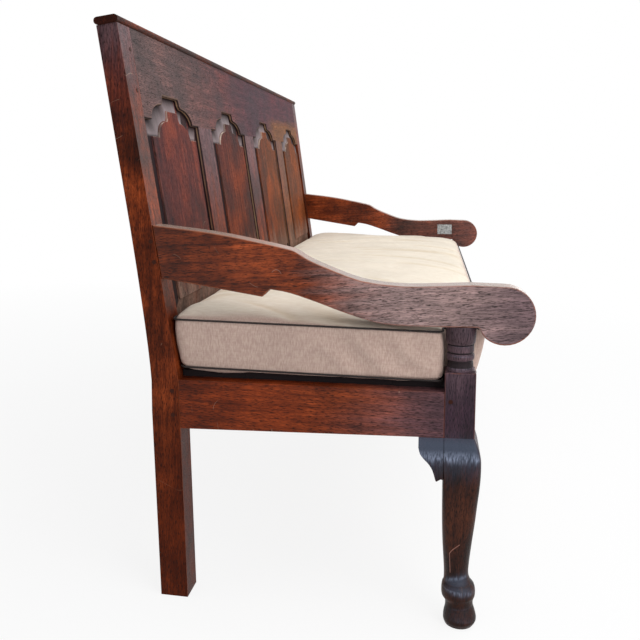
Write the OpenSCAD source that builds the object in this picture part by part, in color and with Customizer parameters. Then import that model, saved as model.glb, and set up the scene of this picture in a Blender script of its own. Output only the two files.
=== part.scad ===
// Oak settle: four fielded panels in a raked back, shaped open arms, cabriole front legs with hoof feet,
// and a loose squab cushion on a board seat. Sizes are in millimetres.
// The joiner's frame has X along the settle, Y to the back and Z up. Y = 0 is the front face of the rear
// posts and Z = 0 the floor below it. standing() then leans that frame back onto its shorter rear feet.

/* [Frame] */
// Length over the outer faces of the end posts
settle_l = 1830; // [1600:10:2100]
// Clear span of a side rail, from the front leg to the rear post
side_span = 491; // [440:1:560]
// Height of the upright part of the rear posts
kink_h = 440; // [436:1:448]
// Length of the raked part of the rear posts
rake_l = 644; // [600:1:700]
// Rake of the back in degrees
rake = 7.3; // [4:0.1:10]
// How much further down the front legs reach than the rear ones
front_drop = 25; // [5:1:40]

/* [Rear posts] */
// Width of a rear post along the settle
post_w = 58; // [52:1:70]
// Depth of a rear post at its foot
post_d = 54; // [50:1:64]
// Depth of a rear post at its top
post_top_d = 38; // [34:1:46]

/* [Front legs] */
// Side of the square block of a front leg
leg_w = 55; // [52:1:60]
// Height of the top of the square block
block_top = 468; // [462:1:480]
// How far the knee stands out from the block
knee_out = 13; // [6:1:18]
// How far the hoof stands out from the block
hoof_out = 13; // [6:1:16]
// Diameter of the ankle
ankle_d = 45; // [38:1:50]
// Diameter of the hoof
hoof_d = 62; // [54:1:66]
// Diameter of the turned cup below the arm
cup_d = 54; // [48:1:55]
// Diameter of the turned neck below the cup
neck_d = 48; // [40:1:50]

/* [Seat rails] */
// Height of the lower edge of the seat rails
rail_bottom = 347; // [320:1:356]
// Depth of a side rail at the front leg
rail_front_h = 85; // [78:1:92]
// Depth of a side rail at the rear post
rail_rear_h = 95; // [84:1:97]
// Thickness of the seat rails
rail_t = 44; // [34:1:46]
// Length of a knee bracket along its rail
bracket_l = 45; // [36:1:60]
// Drop of a knee bracket below its rail
bracket_h = 79; // [60:1:90]

/* [Back] */
// Depth of the top rail above the panels' shoulders
top_rail_h = 159; // [130:1:180]
// Depth of the bottom rail of the back
bottom_rail_h = 90; // [70:1:100]
// Thickness of the rails and muntins of the back
back_t = 26; // [22:1:30]
// Width of a muntin
muntin_w = 110; // [80:1:130]
// Rise of an arched head above its shoulders
arch_rise = 49; // [30:1:60]
// Width of the flat top of an arched head
arch_top_w = 96; // [60:1:120]
// Width of a shoulder beside an arched head
shoulder_w = 44; // [25:1:60]
// Width of the bevel round a panel's raised field
bevel_w = 32; // [20:1:42]
// Thickness of a panel at its field
panel_t = 16; // [13:1:18]
// Thickness of the top cap
cap_t = 13; // [10:1:18]

/* [Arms] */
// Thickness of an arm
arm_t = 44; // [34:1:50]
// Height of an arm's underside where it rests on the front leg
arm_rest_z = 550; // [535:1:570]
// Height of an arm's top over the front leg
arm_front_z = 623; // [612:1:640]
// Height of an arm's top at the rear post
arm_rear_z = 729; // [700:1:750]
// Depth of an arm at the rear post
arm_rear_h = 97; // [85:1:110]
// Radius of the rounded end of an arm
scroll_r = 52; // [44:1:56]
// How far the centre of the rounded end lies in front of the front leg
scroll_reach = 47; // [38:1:60]

/* [Seat] */
// Thickness of the seat boards
board_t = 12; // [9:1:12]
// Distance of the boards' ends from the outer faces of the side rails
board_in = 31; // [20:1:34]
// Height of the cushion between its two piped edges
cushion_h = 90; // [60:1:92]
// Rise of the cushion's crown above its upper edge
crown = 24; // [10:1:40]
// How far the cushion's front comes forward of the front legs
cushion_front = 22; // [5:1:40]

/* [Joints] */
// Length of the rail tenons
tenon_l = 28; // [20:1:32]
// Thickness of the tenons
tenon_t = 10; // [8:1:12]
// Diameter of the oak pegs
peg_d = 8; // [6:1:10]
// Clearance of a tenon in its mortise and of a tongue in its groove
joint_gap = 0.3; // [0.1:0.1:0.6]

/* [Hidden] */
$fn = 48;

over = 1;              // overrun of every cut
half_l = settle_l / 2;
leg_back = -side_span; // rear face of the front legs
leg_front = leg_back - leg_w;
leg_mid = leg_back - leg_w / 2;

// Finish colours
oak = "#4a2a20";
dark_oak = "#37231f";
worn_oak = "#5d3524";
peg_oak = "#3a2620";
pine = "#b9a68c";
linen = "#cdbfa8";
zinc = "#9a9c9b";

// Lean of the whole frame onto its rear feet
foot_y = leg_mid - (hoof_out - (hoof_d - leg_w) / 2);
lean = atan(front_drop / -foot_y);
function leaned(p) = [p[0] * cos(lean) + p[1] * sin(lean), p[1] * cos(lean) - p[0] * sin(lean)];

// A point of the raked back: w is its depth behind the front face and v its distance up the slope
function raked(w, v) = [w * cos(rake) + v * sin(rake), kink_h + v * cos(rake) - w * sin(rake)];
function rake_y(z) = max(0, z - kink_h) * tan(rake);

// Cap, arm end and the middle of the footprint
cap_front = 4;         // overhang of the cap in front of the posts
cap_back = 2;          // overhang of the cap behind them
cap_side = 4;          // overhang of the cap at each end
scroll_c = [leg_front - scroll_reach, arm_front_z - scroll_r];
cap_nose = raked(post_top_d + cap_back - cap_t / 2, rake_l + cap_t / 2);
front_y = leaned(scroll_c)[0] - scroll_r;
back_y = leaned(cap_nose)[0] + cap_t / 2;
mid_y = (front_y + back_y) / 2;

// Seat plane: the line on which the boards lie
deck_slope = (rail_rear_h - rail_front_h) / side_span;
function deck_z(y) = rail_bottom + rail_rear_h + y * deck_slope;
function deck_top(y) = deck_z(y) + board_t;

rail_set = 1;          // how far the seat rails lie behind the faces of the posts
arm_set = 2;           // how far the arms lie inside the outer faces
tenon_in = 17;         // outer face of a post or leg to the near cheek of its tenon
tenon_shoulder = 10;   // width of the shoulder above and below a tenon
back_rail_in = 4;      // front face of the rear posts to the back seat rail

// Turns a drawing in Y and Z into a solid between two places along X
module along_x(x0, x1) translate([x0, 0, 0]) rotate([90, 0, 90]) linear_extrude(x1 - x0) children();
// Turns a drawing in X and Z into a solid between two places along Y
module along_y(y0, y1) translate([0, y1, 0]) rotate([90, 0, 0]) linear_extrude(y1 - y0) children();
// Box between two corners, grown by g on every side
module box(lo, hi, g = 0) translate([for (c = lo) c - g]) cube([for (i = [0:2]) hi[i] - lo[i] + 2 * g]);
// Places what is drawn from the outer face of the left end inwards
module left_end() translate([-half_l, 0, 0]) children();
module right_end() mirror([1, 0, 0]) left_end() children();
module both_ends() {
    left_end() children();
    right_end() children();
}
// Places what is drawn in the plane of the back, X along it, Y into it and Z up it
module in_back() translate([0, 0, kink_h]) rotate([-rake, 0, 0]) children();
// Leans the frame onto its feet, with the middle of its footprint at the origin
module standing() translate([0, -mid_y, 0]) rotate([-lean, 0, 0]) children();
// All that lies below the floor
module below_floor() rotate([lean, 0, 0])
    box([-settle_l, -2 * side_span, -side_span], [settle_l, side_span, 0]);

function arc(c, r, a0, a1, n) = [for (i = [0:n]) let (a = a0 + (a1 - a0) * i / n) c + r * [cos(a), sin(a)]];
function curve(a, b, c, n) =
    [for (i = [0:n]) let (t = i / n) (1 - t) ^ 2 * a + 2 * t * (1 - t) * b + t ^ 2 * c];

// Smooth line through a list of points, n steps between each two
function smooth(p, n) = concat([for (k = [0:len(p) - 2]) for (i = [0:n - 1])
    let (a = p[max(k - 1, 0)], b = p[k], c = p[k + 1], d = p[min(k + 2, len(p) - 1)], t = i / n)
    (2 * b + (c - a) * t + (2 * a - 5 * b + 4 * c - d) * t ^ 2 + (3 * b - a - 3 * c + d) * t ^ 3) / 2],
    [p[len(p) - 1]]);

// Mortise and tenon of a side rail at the post (toward = 1) and at the leg (toward = -1)
module side_tenon(face, toward, g = 0) {
    z0 = rail_bottom + tenon_shoulder;
    z1 = rail_bottom + rail_front_h - tenon_shoulder;
    y = [face - (toward < 0 ? tenon_l : over), face + (toward > 0 ? tenon_l : over)];
    box([tenon_in, y[0], z0], [tenon_in + tenon_t, y[1], z1], g);
}
// Tenon of a seat rail that runs along the settle, into the left end
module long_tenon(face, y0, g = 0)
    box([face - long_tenon_l, y0, rail_bottom + tenon_shoulder],
        [face + over, y0 + tenon_t, rail_bottom + rail_front_h - tenon_shoulder], g);
long_tenon_l = 24;
front_tenon_y = leg_front + tenon_in;
back_tenon_y = back_rail_in + (rail_t - tenon_t) / 2;

// Tenons of the back's rails, in the plane of the back
back_tenon_w = 9;      // front face of the back to the near cheek of its tenons
back_tenon_t = 8;
top_v = rake_l - top_rail_h;
bottom_clear = 14;     // seat rail's top to the bottom rail of the back
bottom_v = bottom_clear + max(0, (deck_z(0) - kink_h) / cos(rake));
field_v = bottom_v + bottom_rail_h;
module back_tenon(v0, v1, g = 0)
    box([post_w - long_tenon_l, back_tenon_w, v0 + tenon_shoulder],
        [post_w + over, back_tenon_w + back_tenon_t, v1 - tenon_shoulder], g);

// Arm tenon, level, into the raked face of the post
arm_tenon_l = 26;
arm_tenon_z = [arm_rear_z - arm_rear_h + tenon_shoulder, arm_rear_z - 2 * tenon_shoulder];
module arm_tenon(g = 0)
    box([tenon_in, rake_y(arm_tenon_z[0]) - over, arm_tenon_z[0]],
        [tenon_in + tenon_t, rake_y(arm_tenon_z[0]) + arm_tenon_l, arm_tenon_z[1]], g);

// Pegs that cross a tenon along X, given as places in Y and Z
peg_in = 13;           // joint line to the middle of a peg
leg_peg_in = 11;       // the same for the peg in a front leg
arm_peg_in = 7;        // the same for an arm's pegs
peg_l = 40;
peg_proud = 0.6;       // how far a peg stands out of the wood
rail_peg_shares = [0.31, 0.86];   // heights of the pegs, as parts of the rail's depth
leg_peg_share = 0.8;
arm_peg_shares = [0.3, 0.86];     // the same, as parts of the arm tenon's depth
side_pegs = [for (k = rail_peg_shares) [peg_in, rail_bottom + k * rail_front_h]];
leg_pegs = [[leg_back - leg_peg_in, rail_bottom + leg_peg_share * rail_front_h]];
arm_peg_at = [for (k = arm_peg_shares) let (z = arm_tenon_z[0] + k * (arm_tenon_z[1] - arm_tenon_z[0]))
    [rake_y(z) + arm_peg_in, z]];
module cross_pegs(places, d, out = 0)
    for (p = places) translate([-out, p[0], p[1]]) rotate([0, 90, 0]) cylinder(d = d, h = peg_l + out);

// Pegs that cross a tenon from the front, given as places along X and up
long_peg_x = post_w - peg_in;
front_peg_x = leg_w - peg_in;
front_peg_share = 0.28;
seat_peg_shares = [0.35, 0.65];
top_peg_shares = [0.3, 0.75];
front_rail_peg = [[front_peg_x, rail_bottom + front_peg_share * rail_front_h]];
seat_rail_pegs = [for (k = seat_peg_shares) [long_peg_x, rail_bottom + k * rail_front_h]];
back_peg_places = concat([[long_peg_x, bottom_v + bottom_rail_h / 2]],
    [for (k = top_peg_shares) [long_peg_x, top_v + k * top_rail_h]]);
back_peg_l = post_top_d - peg_in;
module front_pegs(places, from, to, d)
    for (p = places) translate([p[0], from, p[1]]) rotate([-90, 0, 0]) cylinder(d = d, h = to - from);

// Panels and their openings
panels = 4;
opening_w = (settle_l - 2 * post_w - (panels - 1) * muntin_w) / panels;
pitch = opening_w + muntin_w;
function panel_x(i) = -half_l + post_w + opening_w / 2 + i * pitch;
function muntin_x(i) = -half_l + post_w + opening_w + muntin_w / 2 + i * pitch;
groove_d = 8;          // depth of the grooves that hold the panels
groove_w = 10;         // front face of the back to the groove
tongue_t = 6;          // thickness of a panel's edge

// Arched outline of an opening from its base at v0, grown by g all round
step_rise_share = 0.38;   // part of the rise that the square step below the flat top takes
step_in_share = 0.14;     // width of that step, as a part of the flat top
arch_n = 6;               // facets of the quarter round below it
function arch_half(w, v0, v1, g) =
    let (a = arch_top_w / 2 + g, b = w / 2 - shoulder_w + g, top = v1 + arch_rise + g,
         mid = v1 + arch_rise * (1 - step_rise_share) + g, s = arch_top_w * step_in_share,
         low = v1 + g)
    concat([[w / 2 + g, v0 - g], [w / 2 + g, low], [b, low]],
        [for (i = [1:arch_n]) let (t = 90 * i / arch_n)
            [a + s + (b - a - s) * cos(t), low + (mid - low) * sin(t)]],
        [[a + s / 3, mid + (top - mid) / 3], [a + s / 4, top - (top - mid) / 4], [a, top]]);
function mirrored(half) = concat(half, [for (i = [len(half) - 1:-1:0]) [-half[i][0], half[i][1]]]);
module arch_plate(w, v0, v1, g, y0, y1) along_y(y0, y1) polygon(mirrored(arch_half(w, v0, v1, g)));

kink_ease = 120;       // length over which the back of a post bends
kink_belly = 1;        // how far the post's back stands out there
kink_dip = 2;          // and how far it is drawn in below
module rear_post() difference() {
    along_x(0, post_w) polygon(concat([[post_d, -over], [0, -over], [0, kink_h], raked(0, rake_l)],
        curve(raked(post_top_d, rake_l), [post_d + kink_belly, kink_h + kink_ease],
            [post_d - kink_dip, kink_h], 10),
        [[post_d, kink_h - kink_ease / 2]]));
    below_floor();
    side_tenon(0, 1, joint_gap);
    long_tenon(post_w, back_tenon_y, joint_gap);
    in_back() {
        back_tenon(bottom_v, field_v, joint_gap);
        back_tenon(top_v, rake_l, joint_gap);
        box([post_w - groove_d, groove_w, field_v - groove_d],
            [post_w + over, groove_w + tongue_t, top_v + groove_d], joint_gap);
        front_pegs(back_peg_places, -over, back_peg_l, peg_d);
    }
    arm_tenon(joint_gap);
    cross_pegs(concat(side_pegs, arm_peg_at), peg_d, over);
    front_pegs(seat_rail_pegs, -over, peg_l, peg_d);
}

// Cabriole leg below the block: [height share, outward share of the knee, of the hoof, inward share,
// roundness]. The height runs from the rail's lower edge (0) to the floor (1). The inward share is of the
// ankle's narrowing, or of the hoof's where the hoof has a share.
leg_h = rail_bottom + front_drop;
ankle_in = leg_w - ankle_d;
hoof_in = leg_w + hoof_out - hoof_d;
leg_shares = [
    [-0.010, -0.06, 0, 0.06, 0.00], [0.000, 0.00, 0, 0.00, 0.02], [0.030, 0.36, 0, 0.00, 0.12],
    [0.065, 0.72, 0, 0.00, 0.20], [0.105, 0.95, 0, 0.00, 0.26], [0.150, 1.00, 0, 0.00, 0.30],
    [0.205, 0.98, 0, 0.00, 0.34], [0.270, 0.87, 0, 0.00, 0.40], [0.340, 0.70, 0, 0.02, 0.50],
    [0.440, 0.47, 0, 0.06, 0.62], [0.550, 0.16, 0, 0.20, 0.76], [0.670, -0.16, 0, 0.50, 0.90],
    [0.735, -0.24, 0, 0.62, 1.00], [0.770, 0.00, 0.10, 0.92, 1.00], [0.795, 0.00, 0.62, 0.40, 1.00],
    [0.820, 0.00, 0.78, 0.30, 1.00], [0.848, 0.00, 0.74, 0.43, 1.00], [0.876, 0.00, 0.50, 1.50, 1.00],
    [0.900, 0.00, 0.52, 1.58, 1.00], [0.935, 0.00, 0.84, 1.04, 1.00], [0.965, 0.00, 1.00, 1.00, 1.00],
    [0.985, 0.00, 0.86, 1.20, 1.00], [1.020, 0.00, 0.20, 2.20, 1.00]];
corner_n = 5;
ring_n = 4 * (corner_n + 1);
min_r = 2;
// One ring of the leg, anticlockwise from the inner corner, in the leg's corner frame
function leg_ring(s) =
    let (out = s[1] * knee_out + s[2] * hoof_out, into = s[3] * (s[2] > 0 ? hoof_in : ankle_in),
         lo = -out, hi = leg_w - into, half = (hi - lo) / 2, z = rail_bottom - s[0] * leg_h,
         r_in = min_r + (half - min_r) * max(0, s[4] - 0.3) / 0.7,
         r_out = min_r + (half - min_r) * min(1, s[4] * 1.1),
         corners = [[hi, hi, 0, r_in], [lo, hi, 90, r_in], [lo, lo, 180, r_out], [hi, lo, 270, r_in]])
    [for (c = corners) for (i = [0:corner_n])
        let (a = c[2] + 90 * i / corner_n, m = [c[0] - sign(c[0] - (lo + hi) / 2) * c[3],
             c[1] - sign(c[1] - (lo + hi) / 2) * c[3]])
        [m[0] + c[3] * cos(a), m[1] + c[3] * sin(a), z]];
// Skins a list of rings that run from top to bottom
function ring_sides(rings, n) = [for (k = [0:rings - 2]) for (i = [0:n - 1]) let (j = (i + 1) % n)
    each [[k * n + i, (k + 1) * n + i, (k + 1) * n + j], [k * n + i, (k + 1) * n + j, k * n + j]]];
module leg_shaft() {
    pts = [for (s = leg_shares) each leg_ring(s)];
    n = len(leg_shares);
    top_c = len(pts);
    centre = [leg_w / 2, leg_w / 2, 0];
    caps = [[centre[0], centre[1], pts[0][2]], [centre[0], centre[1], pts[top_c - 1][2]]];
    faces = concat(ring_sides(n, ring_n), [for (i = [0:ring_n - 1]) [top_c, i, (i + 1) % ring_n]],
        [for (i = [0:ring_n - 1]) [top_c + 1, (n - 1) * ring_n + (i + 1) % ring_n, (n - 1) * ring_n + i]]);
    polyhedron(concat(pts, caps), [for (f = faces) [f[2], f[1], f[0]]]);
}

// Turned part between the block and the arm: [height share from block to arm, radius share from the neck to
// the cup]
turning_shares = [[0, 0.67], [0.020, 0.67], [0.030, 0.31], [0.052, 0.03], [0.086, -0.17], [0.132, -0.29],
    [0.190, -0.33], [0.210, -0.67], [0.235, -0.67], [0.245, -0.28], [0.260, 0.04], [0.287, 0.26],
    [0.320, 0.33], [0.353, 0.26], [0.380, 0.04], [0.395, -0.28], [0.415, -0.50], [0.430, 0], [0.575, 0],
    [0.585, -0.50], [0.600, -0.50], [0.605, 0.17], [0.621, 0.42], [0.648, 0.64], [0.687, 0.80],
    [0.738, 0.92], [0.800, 1], [1, 1]];
cup_r = cup_d / 2;
neck_r = neck_d / 2;
pintle_r = 12;         // pin that holds the arm
pintle_l = 30;
turned = [for (s = turning_shares)
    [neck_r + s[1] * (cup_r - neck_r), block_top + s[0] * (arm_rest_z - block_top)]];
turning = concat([[0, block_top - over], [turned[0][0], block_top - over]], turned,
    [[pintle_r, arm_rest_z], [pintle_r, arm_rest_z + pintle_l], [0, arm_rest_z + pintle_l]]);

module front_leg() difference() {
    union() {
        box([0, leg_front, rail_bottom], [leg_w, leg_back, block_top]);
        translate([leg_w / 2, leg_mid, 0]) rotate_extrude() polygon(turning);
        translate([0, leg_front, 0]) leg_shaft();
    }
    below_floor();
    side_tenon(leg_back, -1, joint_gap);
    long_tenon(leg_w, front_tenon_y, joint_gap);
    cross_pegs(leg_pegs, peg_d, over);
    front_pegs(front_rail_peg, leg_front - over, leg_front + peg_l, peg_d);
}

// Knee bracket in the leg's corner frame: it carries the knee's swell along the rail
bracket_t = 40;
swell = [for (s = leg_shares) if (s[0] >= 0 && s[0] * leg_h < bracket_h)
    [-s[1] * knee_out, rail_bottom - s[0] * leg_h]];
bracket_shares = [[0, 0], [1, 0], [1, 0.22], [0.93, 0.36], [0.74, 0.49], [0.56, 0.6], [0.42, 0.74],
    [0.31, 0.96], [0.27, 1], [0.1, 0.94], [0, 0.95]];
module bracket() translate([0, leg_front, 0]) intersection() {
    along_y(leg_w, leg_w + bracket_l)
        polygon(concat(swell, [[swell[len(swell) - 1][0], rail_bottom - bracket_h],
            [bracket_t, rail_bottom - bracket_h], [bracket_t, rail_bottom]]));
    along_x(-knee_out - over, bracket_t + over)
        polygon([for (s = bracket_shares) [leg_w + s[0] * bracket_l, rail_bottom - s[1] * bracket_h]]);
}
// Swaps the two directions of the leg's corner frame
module front_side() translate([0, leg_front, 0]) mirror([1, -1, 0]) translate([0, -leg_front, 0]) children();

module side_rail() difference() {
    union() {
        along_x(rail_set, rail_set + rail_t) polygon([[0, rail_bottom], [leg_back, rail_bottom],
            [leg_back, deck_z(leg_back)], [0, deck_z(0)]]);
        side_tenon(0, 1);
        side_tenon(leg_back, -1);
    }
    cross_pegs(concat(side_pegs, leg_pegs), peg_d, over);
}

// Rail along the settle between two places in Y, its upper edge on the seat plane
module long_rail(y0, y1, end) along_x(-half_l + end, half_l - end)
    polygon([[y0, rail_bottom], [y1, rail_bottom], [y1, deck_z(y1)], [y0, deck_z(y0)]]);
front_rail_y = [leg_front + rail_set, leg_front + rail_set + rail_t];
back_rail_y = [back_rail_in, back_rail_in + rail_t];
bearers = 3;
bearer_w = 50;
bearer_h = 48;
housing = 16;
function bearer_x(i) = (i - (bearers - 1) / 2) * settle_l / (bearers + 1);
module bearer(i, g = 0) along_x(bearer_x(i) - bearer_w / 2 - g, bearer_x(i) + bearer_w / 2 + g) {
    y0 = front_rail_y[1] - housing - g;
    y1 = back_rail_y[0] + housing + g;
    polygon([[y0, deck_z(y0) - bearer_h - g], [y1, deck_z(y1) - bearer_h - g],
        [y1, deck_z(y1) + (g > 0 ? over : 0)], [y0, deck_z(y0) + (g > 0 ? over : 0)]]);
}

module front_rail() difference() {
    union() {
        long_rail(front_rail_y[0], front_rail_y[1], leg_w);
        both_ends() long_tenon(leg_w, front_tenon_y);
    }
    for (i = [0:bearers - 1]) bearer(i, joint_gap);
    both_ends() front_pegs(front_rail_peg, leg_front - over, leg_front + peg_l, peg_d);
}
module back_seat_rail() difference() {
    union() {
        long_rail(back_rail_y[0], back_rail_y[1], post_w);
        both_ends() long_tenon(post_w, back_tenon_y);
    }
    for (i = [0:bearers - 1]) bearer(i, joint_gap);
    both_ends() front_pegs(seat_rail_pegs, -over, peg_l, peg_d);
}

// Panel i as a plate of the groove's thickness, to cut grooves with
module tongue(i, g = 0) translate([panel_x(i), 0, 0])
    arch_plate(opening_w, field_v, top_v, groove_d + g, groove_w - g, groove_w + tongue_t + g);
muntin_tenon_l = 24;
muntin_tenon_w = 60;
module muntin_tenons(i, g = 0) for (v = [field_v - muntin_tenon_l, top_v - over])
    box([muntin_x(i) - muntin_tenon_w / 2, back_tenon_w, v],
        [muntin_x(i) + muntin_tenon_w / 2, back_tenon_w + back_tenon_t, v + muntin_tenon_l + over], g);

module back_rail(v0, v1) in_back() difference() {
    union() {
        box([-half_l + post_w, 0, v0], [half_l - post_w, back_t, v1]);
        both_ends() back_tenon(v0, v1);
    }
    for (i = [0:panels - 1]) tongue(i, joint_gap);
    for (i = [0:panels - 2]) muntin_tenons(i, joint_gap);
    both_ends() front_pegs(back_peg_places, -over, back_peg_l, peg_d);
    children();
}
module bottom_rail() back_rail(bottom_v, field_v);
module top_rail() back_rail(top_v, rake_l)
    for (i = [0:panels - 1]) translate([panel_x(i), 0, 0])
        arch_plate(opening_w, top_v - over, top_v, 0, -over, back_t + over);
module muntin(i) in_back() difference() {
    union() {
        box([muntin_x(i) - muntin_w / 2, 0, field_v], [muntin_x(i) + muntin_w / 2, back_t, top_v]);
        muntin_tenons(i);
    }
    tongue(i, joint_gap);
    tongue(i + 1, joint_gap);
}

// Raised and fielded panel: a tongue all round, a bevel and a flat field in front
panel_gap = 1.5;       // edge of a panel to the bottom of its groove
panel_bevel = panel_t - tongue_t;
module panel(i) in_back() translate([panel_x(i), 0, 0]) {
    g = groove_d - panel_gap;
    mid = (field_v + top_v + arch_rise) / 2;
    w = opening_w + 2 * joint_gap;
    h = top_v + arch_rise - field_v;
    arch_plate(opening_w, field_v, top_v, g, groove_w, groove_w + tongue_t);
    translate([0, groove_w, mid]) rotate([90, 0, 0])
        linear_extrude(panel_bevel, scale = [1 - 2 * bevel_w / w, 1 - 2 * bevel_w / h], slices = 1)
            translate([0, -mid]) polygon(mirrored(arch_half(opening_w, field_v, top_v, -joint_gap)));
}

// Cap with two rounded edges, square to the posts
module cap_moulding() in_back() along_x(-half_l - cap_side, half_l + cap_side)
    let (r = cap_t / 2, c0 = -cap_front + r, c1 = post_top_d + cap_back - r)
        polygon(concat(arc([c0, rake_l + r], r, 90, 270, 10), arc([c1, rake_l + r], r, -90, 90, 10)));

// Arm in side view. A share runs along Y from the post's face (0) to the front of the leg (1), and in height
// from the arm over the leg (0) to the arm at the post (1).
arm_top_shares = [[0, 1], [0.185, 0.87], [0.328, 0.72], [0.425, 0.60], [0.450, 0.55], [0.489, 0.42],
    [0.547, 0.28], [0.628, 0.11], [0.684, 0.04], [0.750, 0], [0.822, -0.01], [0.983, 0.02]];
arm_under_shares = [[0.880, 0], [0.758, 0.02], [0.686, 0.09], [0.587, 0.31], [0.523, 0.48], [0.430, 0.70],
    [0.367, 0.78]];
arm_notch_share = [0.343, 0.61];      // foot of the drop behind the hollow
arm_throat_shares = [[1.012, -0.12], [1.007, -0.03], [1, 0]];
scroll_turn = 220;                    // degrees the rounded end turns through
arm_under_z = arm_rear_z - arm_rear_h;
function arm_point(s, low, high) =
    [rake_y(arm_rear_z) + s[0] * (leg_front - rake_y(arm_rear_z)), low + s[1] * (high - low)];
arm_outline = concat(smooth([for (s = arm_top_shares) arm_point(s, arm_front_z, arm_rear_z)], 3),
    arc(scroll_c, scroll_r, 90, 90 + scroll_turn, 22),
    [for (s = arm_throat_shares) arm_point(s, arm_rest_z, arm_under_z)],
    smooth([for (s = arm_under_shares) arm_point(s, arm_rest_z, arm_under_z)], 3),
    [arm_point(arm_notch_share, arm_rest_z, arm_under_z), [rake_y(arm_under_z), arm_under_z]]);
module arm() difference() {
    union() {
        along_x(arm_set, arm_set + arm_t) polygon(arm_outline);
        difference() {
            arm_tenon();
            along_x(0, post_w)
                polygon([[leg_back, 0], [leg_back, settle_l], raked(-over, settle_l), raked(-over, 0)]);
        }
    }
    translate([leg_w / 2, leg_mid, arm_rest_z - over])
        cylinder(r = pintle_r + joint_gap, h = pintle_l + 2 * over);
    cross_pegs(arm_peg_at, peg_d, over);
}

// Seat boards, laid along the settle
boards = 4;
board_gap = 0.5;
board_bearing = 12;    // how far the last board lies on the back seat rail
board_y = [leg_front + rail_set + rail_t / 4, back_rail_in + board_bearing];
board_w = (board_y[1] - board_y[0] - (boards - 1) * board_gap) / boards;
module seat_board(i) difference() {
    y0 = board_y[0] + i * (board_w + board_gap);
    y1 = y0 + board_w;
    along_x(-half_l + board_in, half_l - board_in)
        polygon([[y0, deck_z(y0)], [y1, deck_z(y1)], [y1, deck_top(y1)], [y0, deck_top(y0)]]);
    for (s = [0, 1]) mirror([s, 0, 0]) left_end() {
        box([-over, leg_front - over, rail_bottom], [leg_w, leg_back, block_top], board_gap);
        box([-over, 0, rail_bottom], [post_w, post_d, block_top], board_gap);
    }
}

// Cushion: a boxed squab, notched round the front legs, that lies back against the raked back
cushion_in = 14;       // outer face of the frame to the cushion's end
cushion_gap = 4;       // cushion's seams to the front legs
cushion_lift = 4;      // seat boards to the lower seam at the front
seam_rise = 6;         // how much further up the seams lie at the back
front_tuck = 18;       // how far the lower front seam lies behind the upper one
swell_out = 3;         // swell of the sides between the seams
squab_r = 12;          // corner radius in plan
squab_front_r = 34;    // the same at the front corners
soft_gap = 0.5;        // cushion's swelled back to the posts
puff = 14;             // power that sets how steeply the crown rises from the upper seam
arm_press = [60, 200]; // front leg to where an arm stops and starts to let the crown rise
press_in = 10;         // how far inside an arm its press reaches
cushion_x = half_l - cushion_in;
tongue_x = half_l - leg_w - cushion_gap;
squab_back = rake_y(deck_top(0)) - swell_out - soft_gap;
squab_leg = leg_back + cushion_gap;
squab_front = leg_front - cushion_front;
side_n = 9;
end_n = 4;
// Plan of the right half from the middle of the front to the middle of the back
squab_half = concat(
    [for (i = [0:side_n]) [i / side_n * (tongue_x - squab_front_r), squab_front]],
    arc([tongue_x - squab_front_r, squab_front + squab_front_r], squab_front_r, -67.5, 0, 3),
    [[tongue_x, squab_leg - squab_r], [tongue_x + squab_r / 2, squab_leg]],
    arc([cushion_x - squab_r, squab_leg + squab_r], squab_r, -90, 0, 3),
    [for (i = [1:end_n - 1])
        [cushion_x, squab_leg + squab_r + i / end_n * (squab_back - squab_leg - 2 * squab_r)]],
    arc([cushion_x - squab_r, squab_back - squab_r], squab_r, 0, 90, 3),
    [for (i = [1:side_n]) [(1 - i / side_n) * (cushion_x - squab_r), squab_back]]);
squab_plan = concat([for (i = [len(squab_half) - 1:-1:1]) [-squab_half[i][0], squab_half[i][1]]],
    [for (i = [0:len(squab_half) - 2]) squab_half[i]]);
squab_mid = [0, (squab_front + squab_back) / 2];
// Rings from the underside to the crown: scale of the depth about the middle, then shares of the swell, of
// the lower seam's lift, of the height between the seams and of the crown. The length shrinks by as much as
// the depth.
squab_ratio = (squab_back - squab_front) / (2 * cushion_x);
squab_shares = concat(
    [[0.5, 0, 0, 0, 0], [0.86, 0, 0, 0, 0], [0.96, 0, 0.3, 0, 0], [1, 0, 1, 0, 0], [1, 0.7, 1, 0.2, 0],
     [1, 1, 1, 0.5, 0], [1, 0.7, 1, 0.8, 0], [1, 0, 1, 1, 0]],
    [for (s = [0.98, 0.95, 0.9, 0.8, 0.65, 0.45, 0.2]) [s, 0, 1, 1, 1 - s ^ puff]]);
// Direction in which a point of the plan swells
function swell_dir(p) = [abs(p[0]) > tongue_x - 2 * squab_r ? sign(p[0]) : 0,
    abs(p[0]) > cushion_x - over ? 0 : sign(p[1] - squab_mid[1])];
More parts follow.
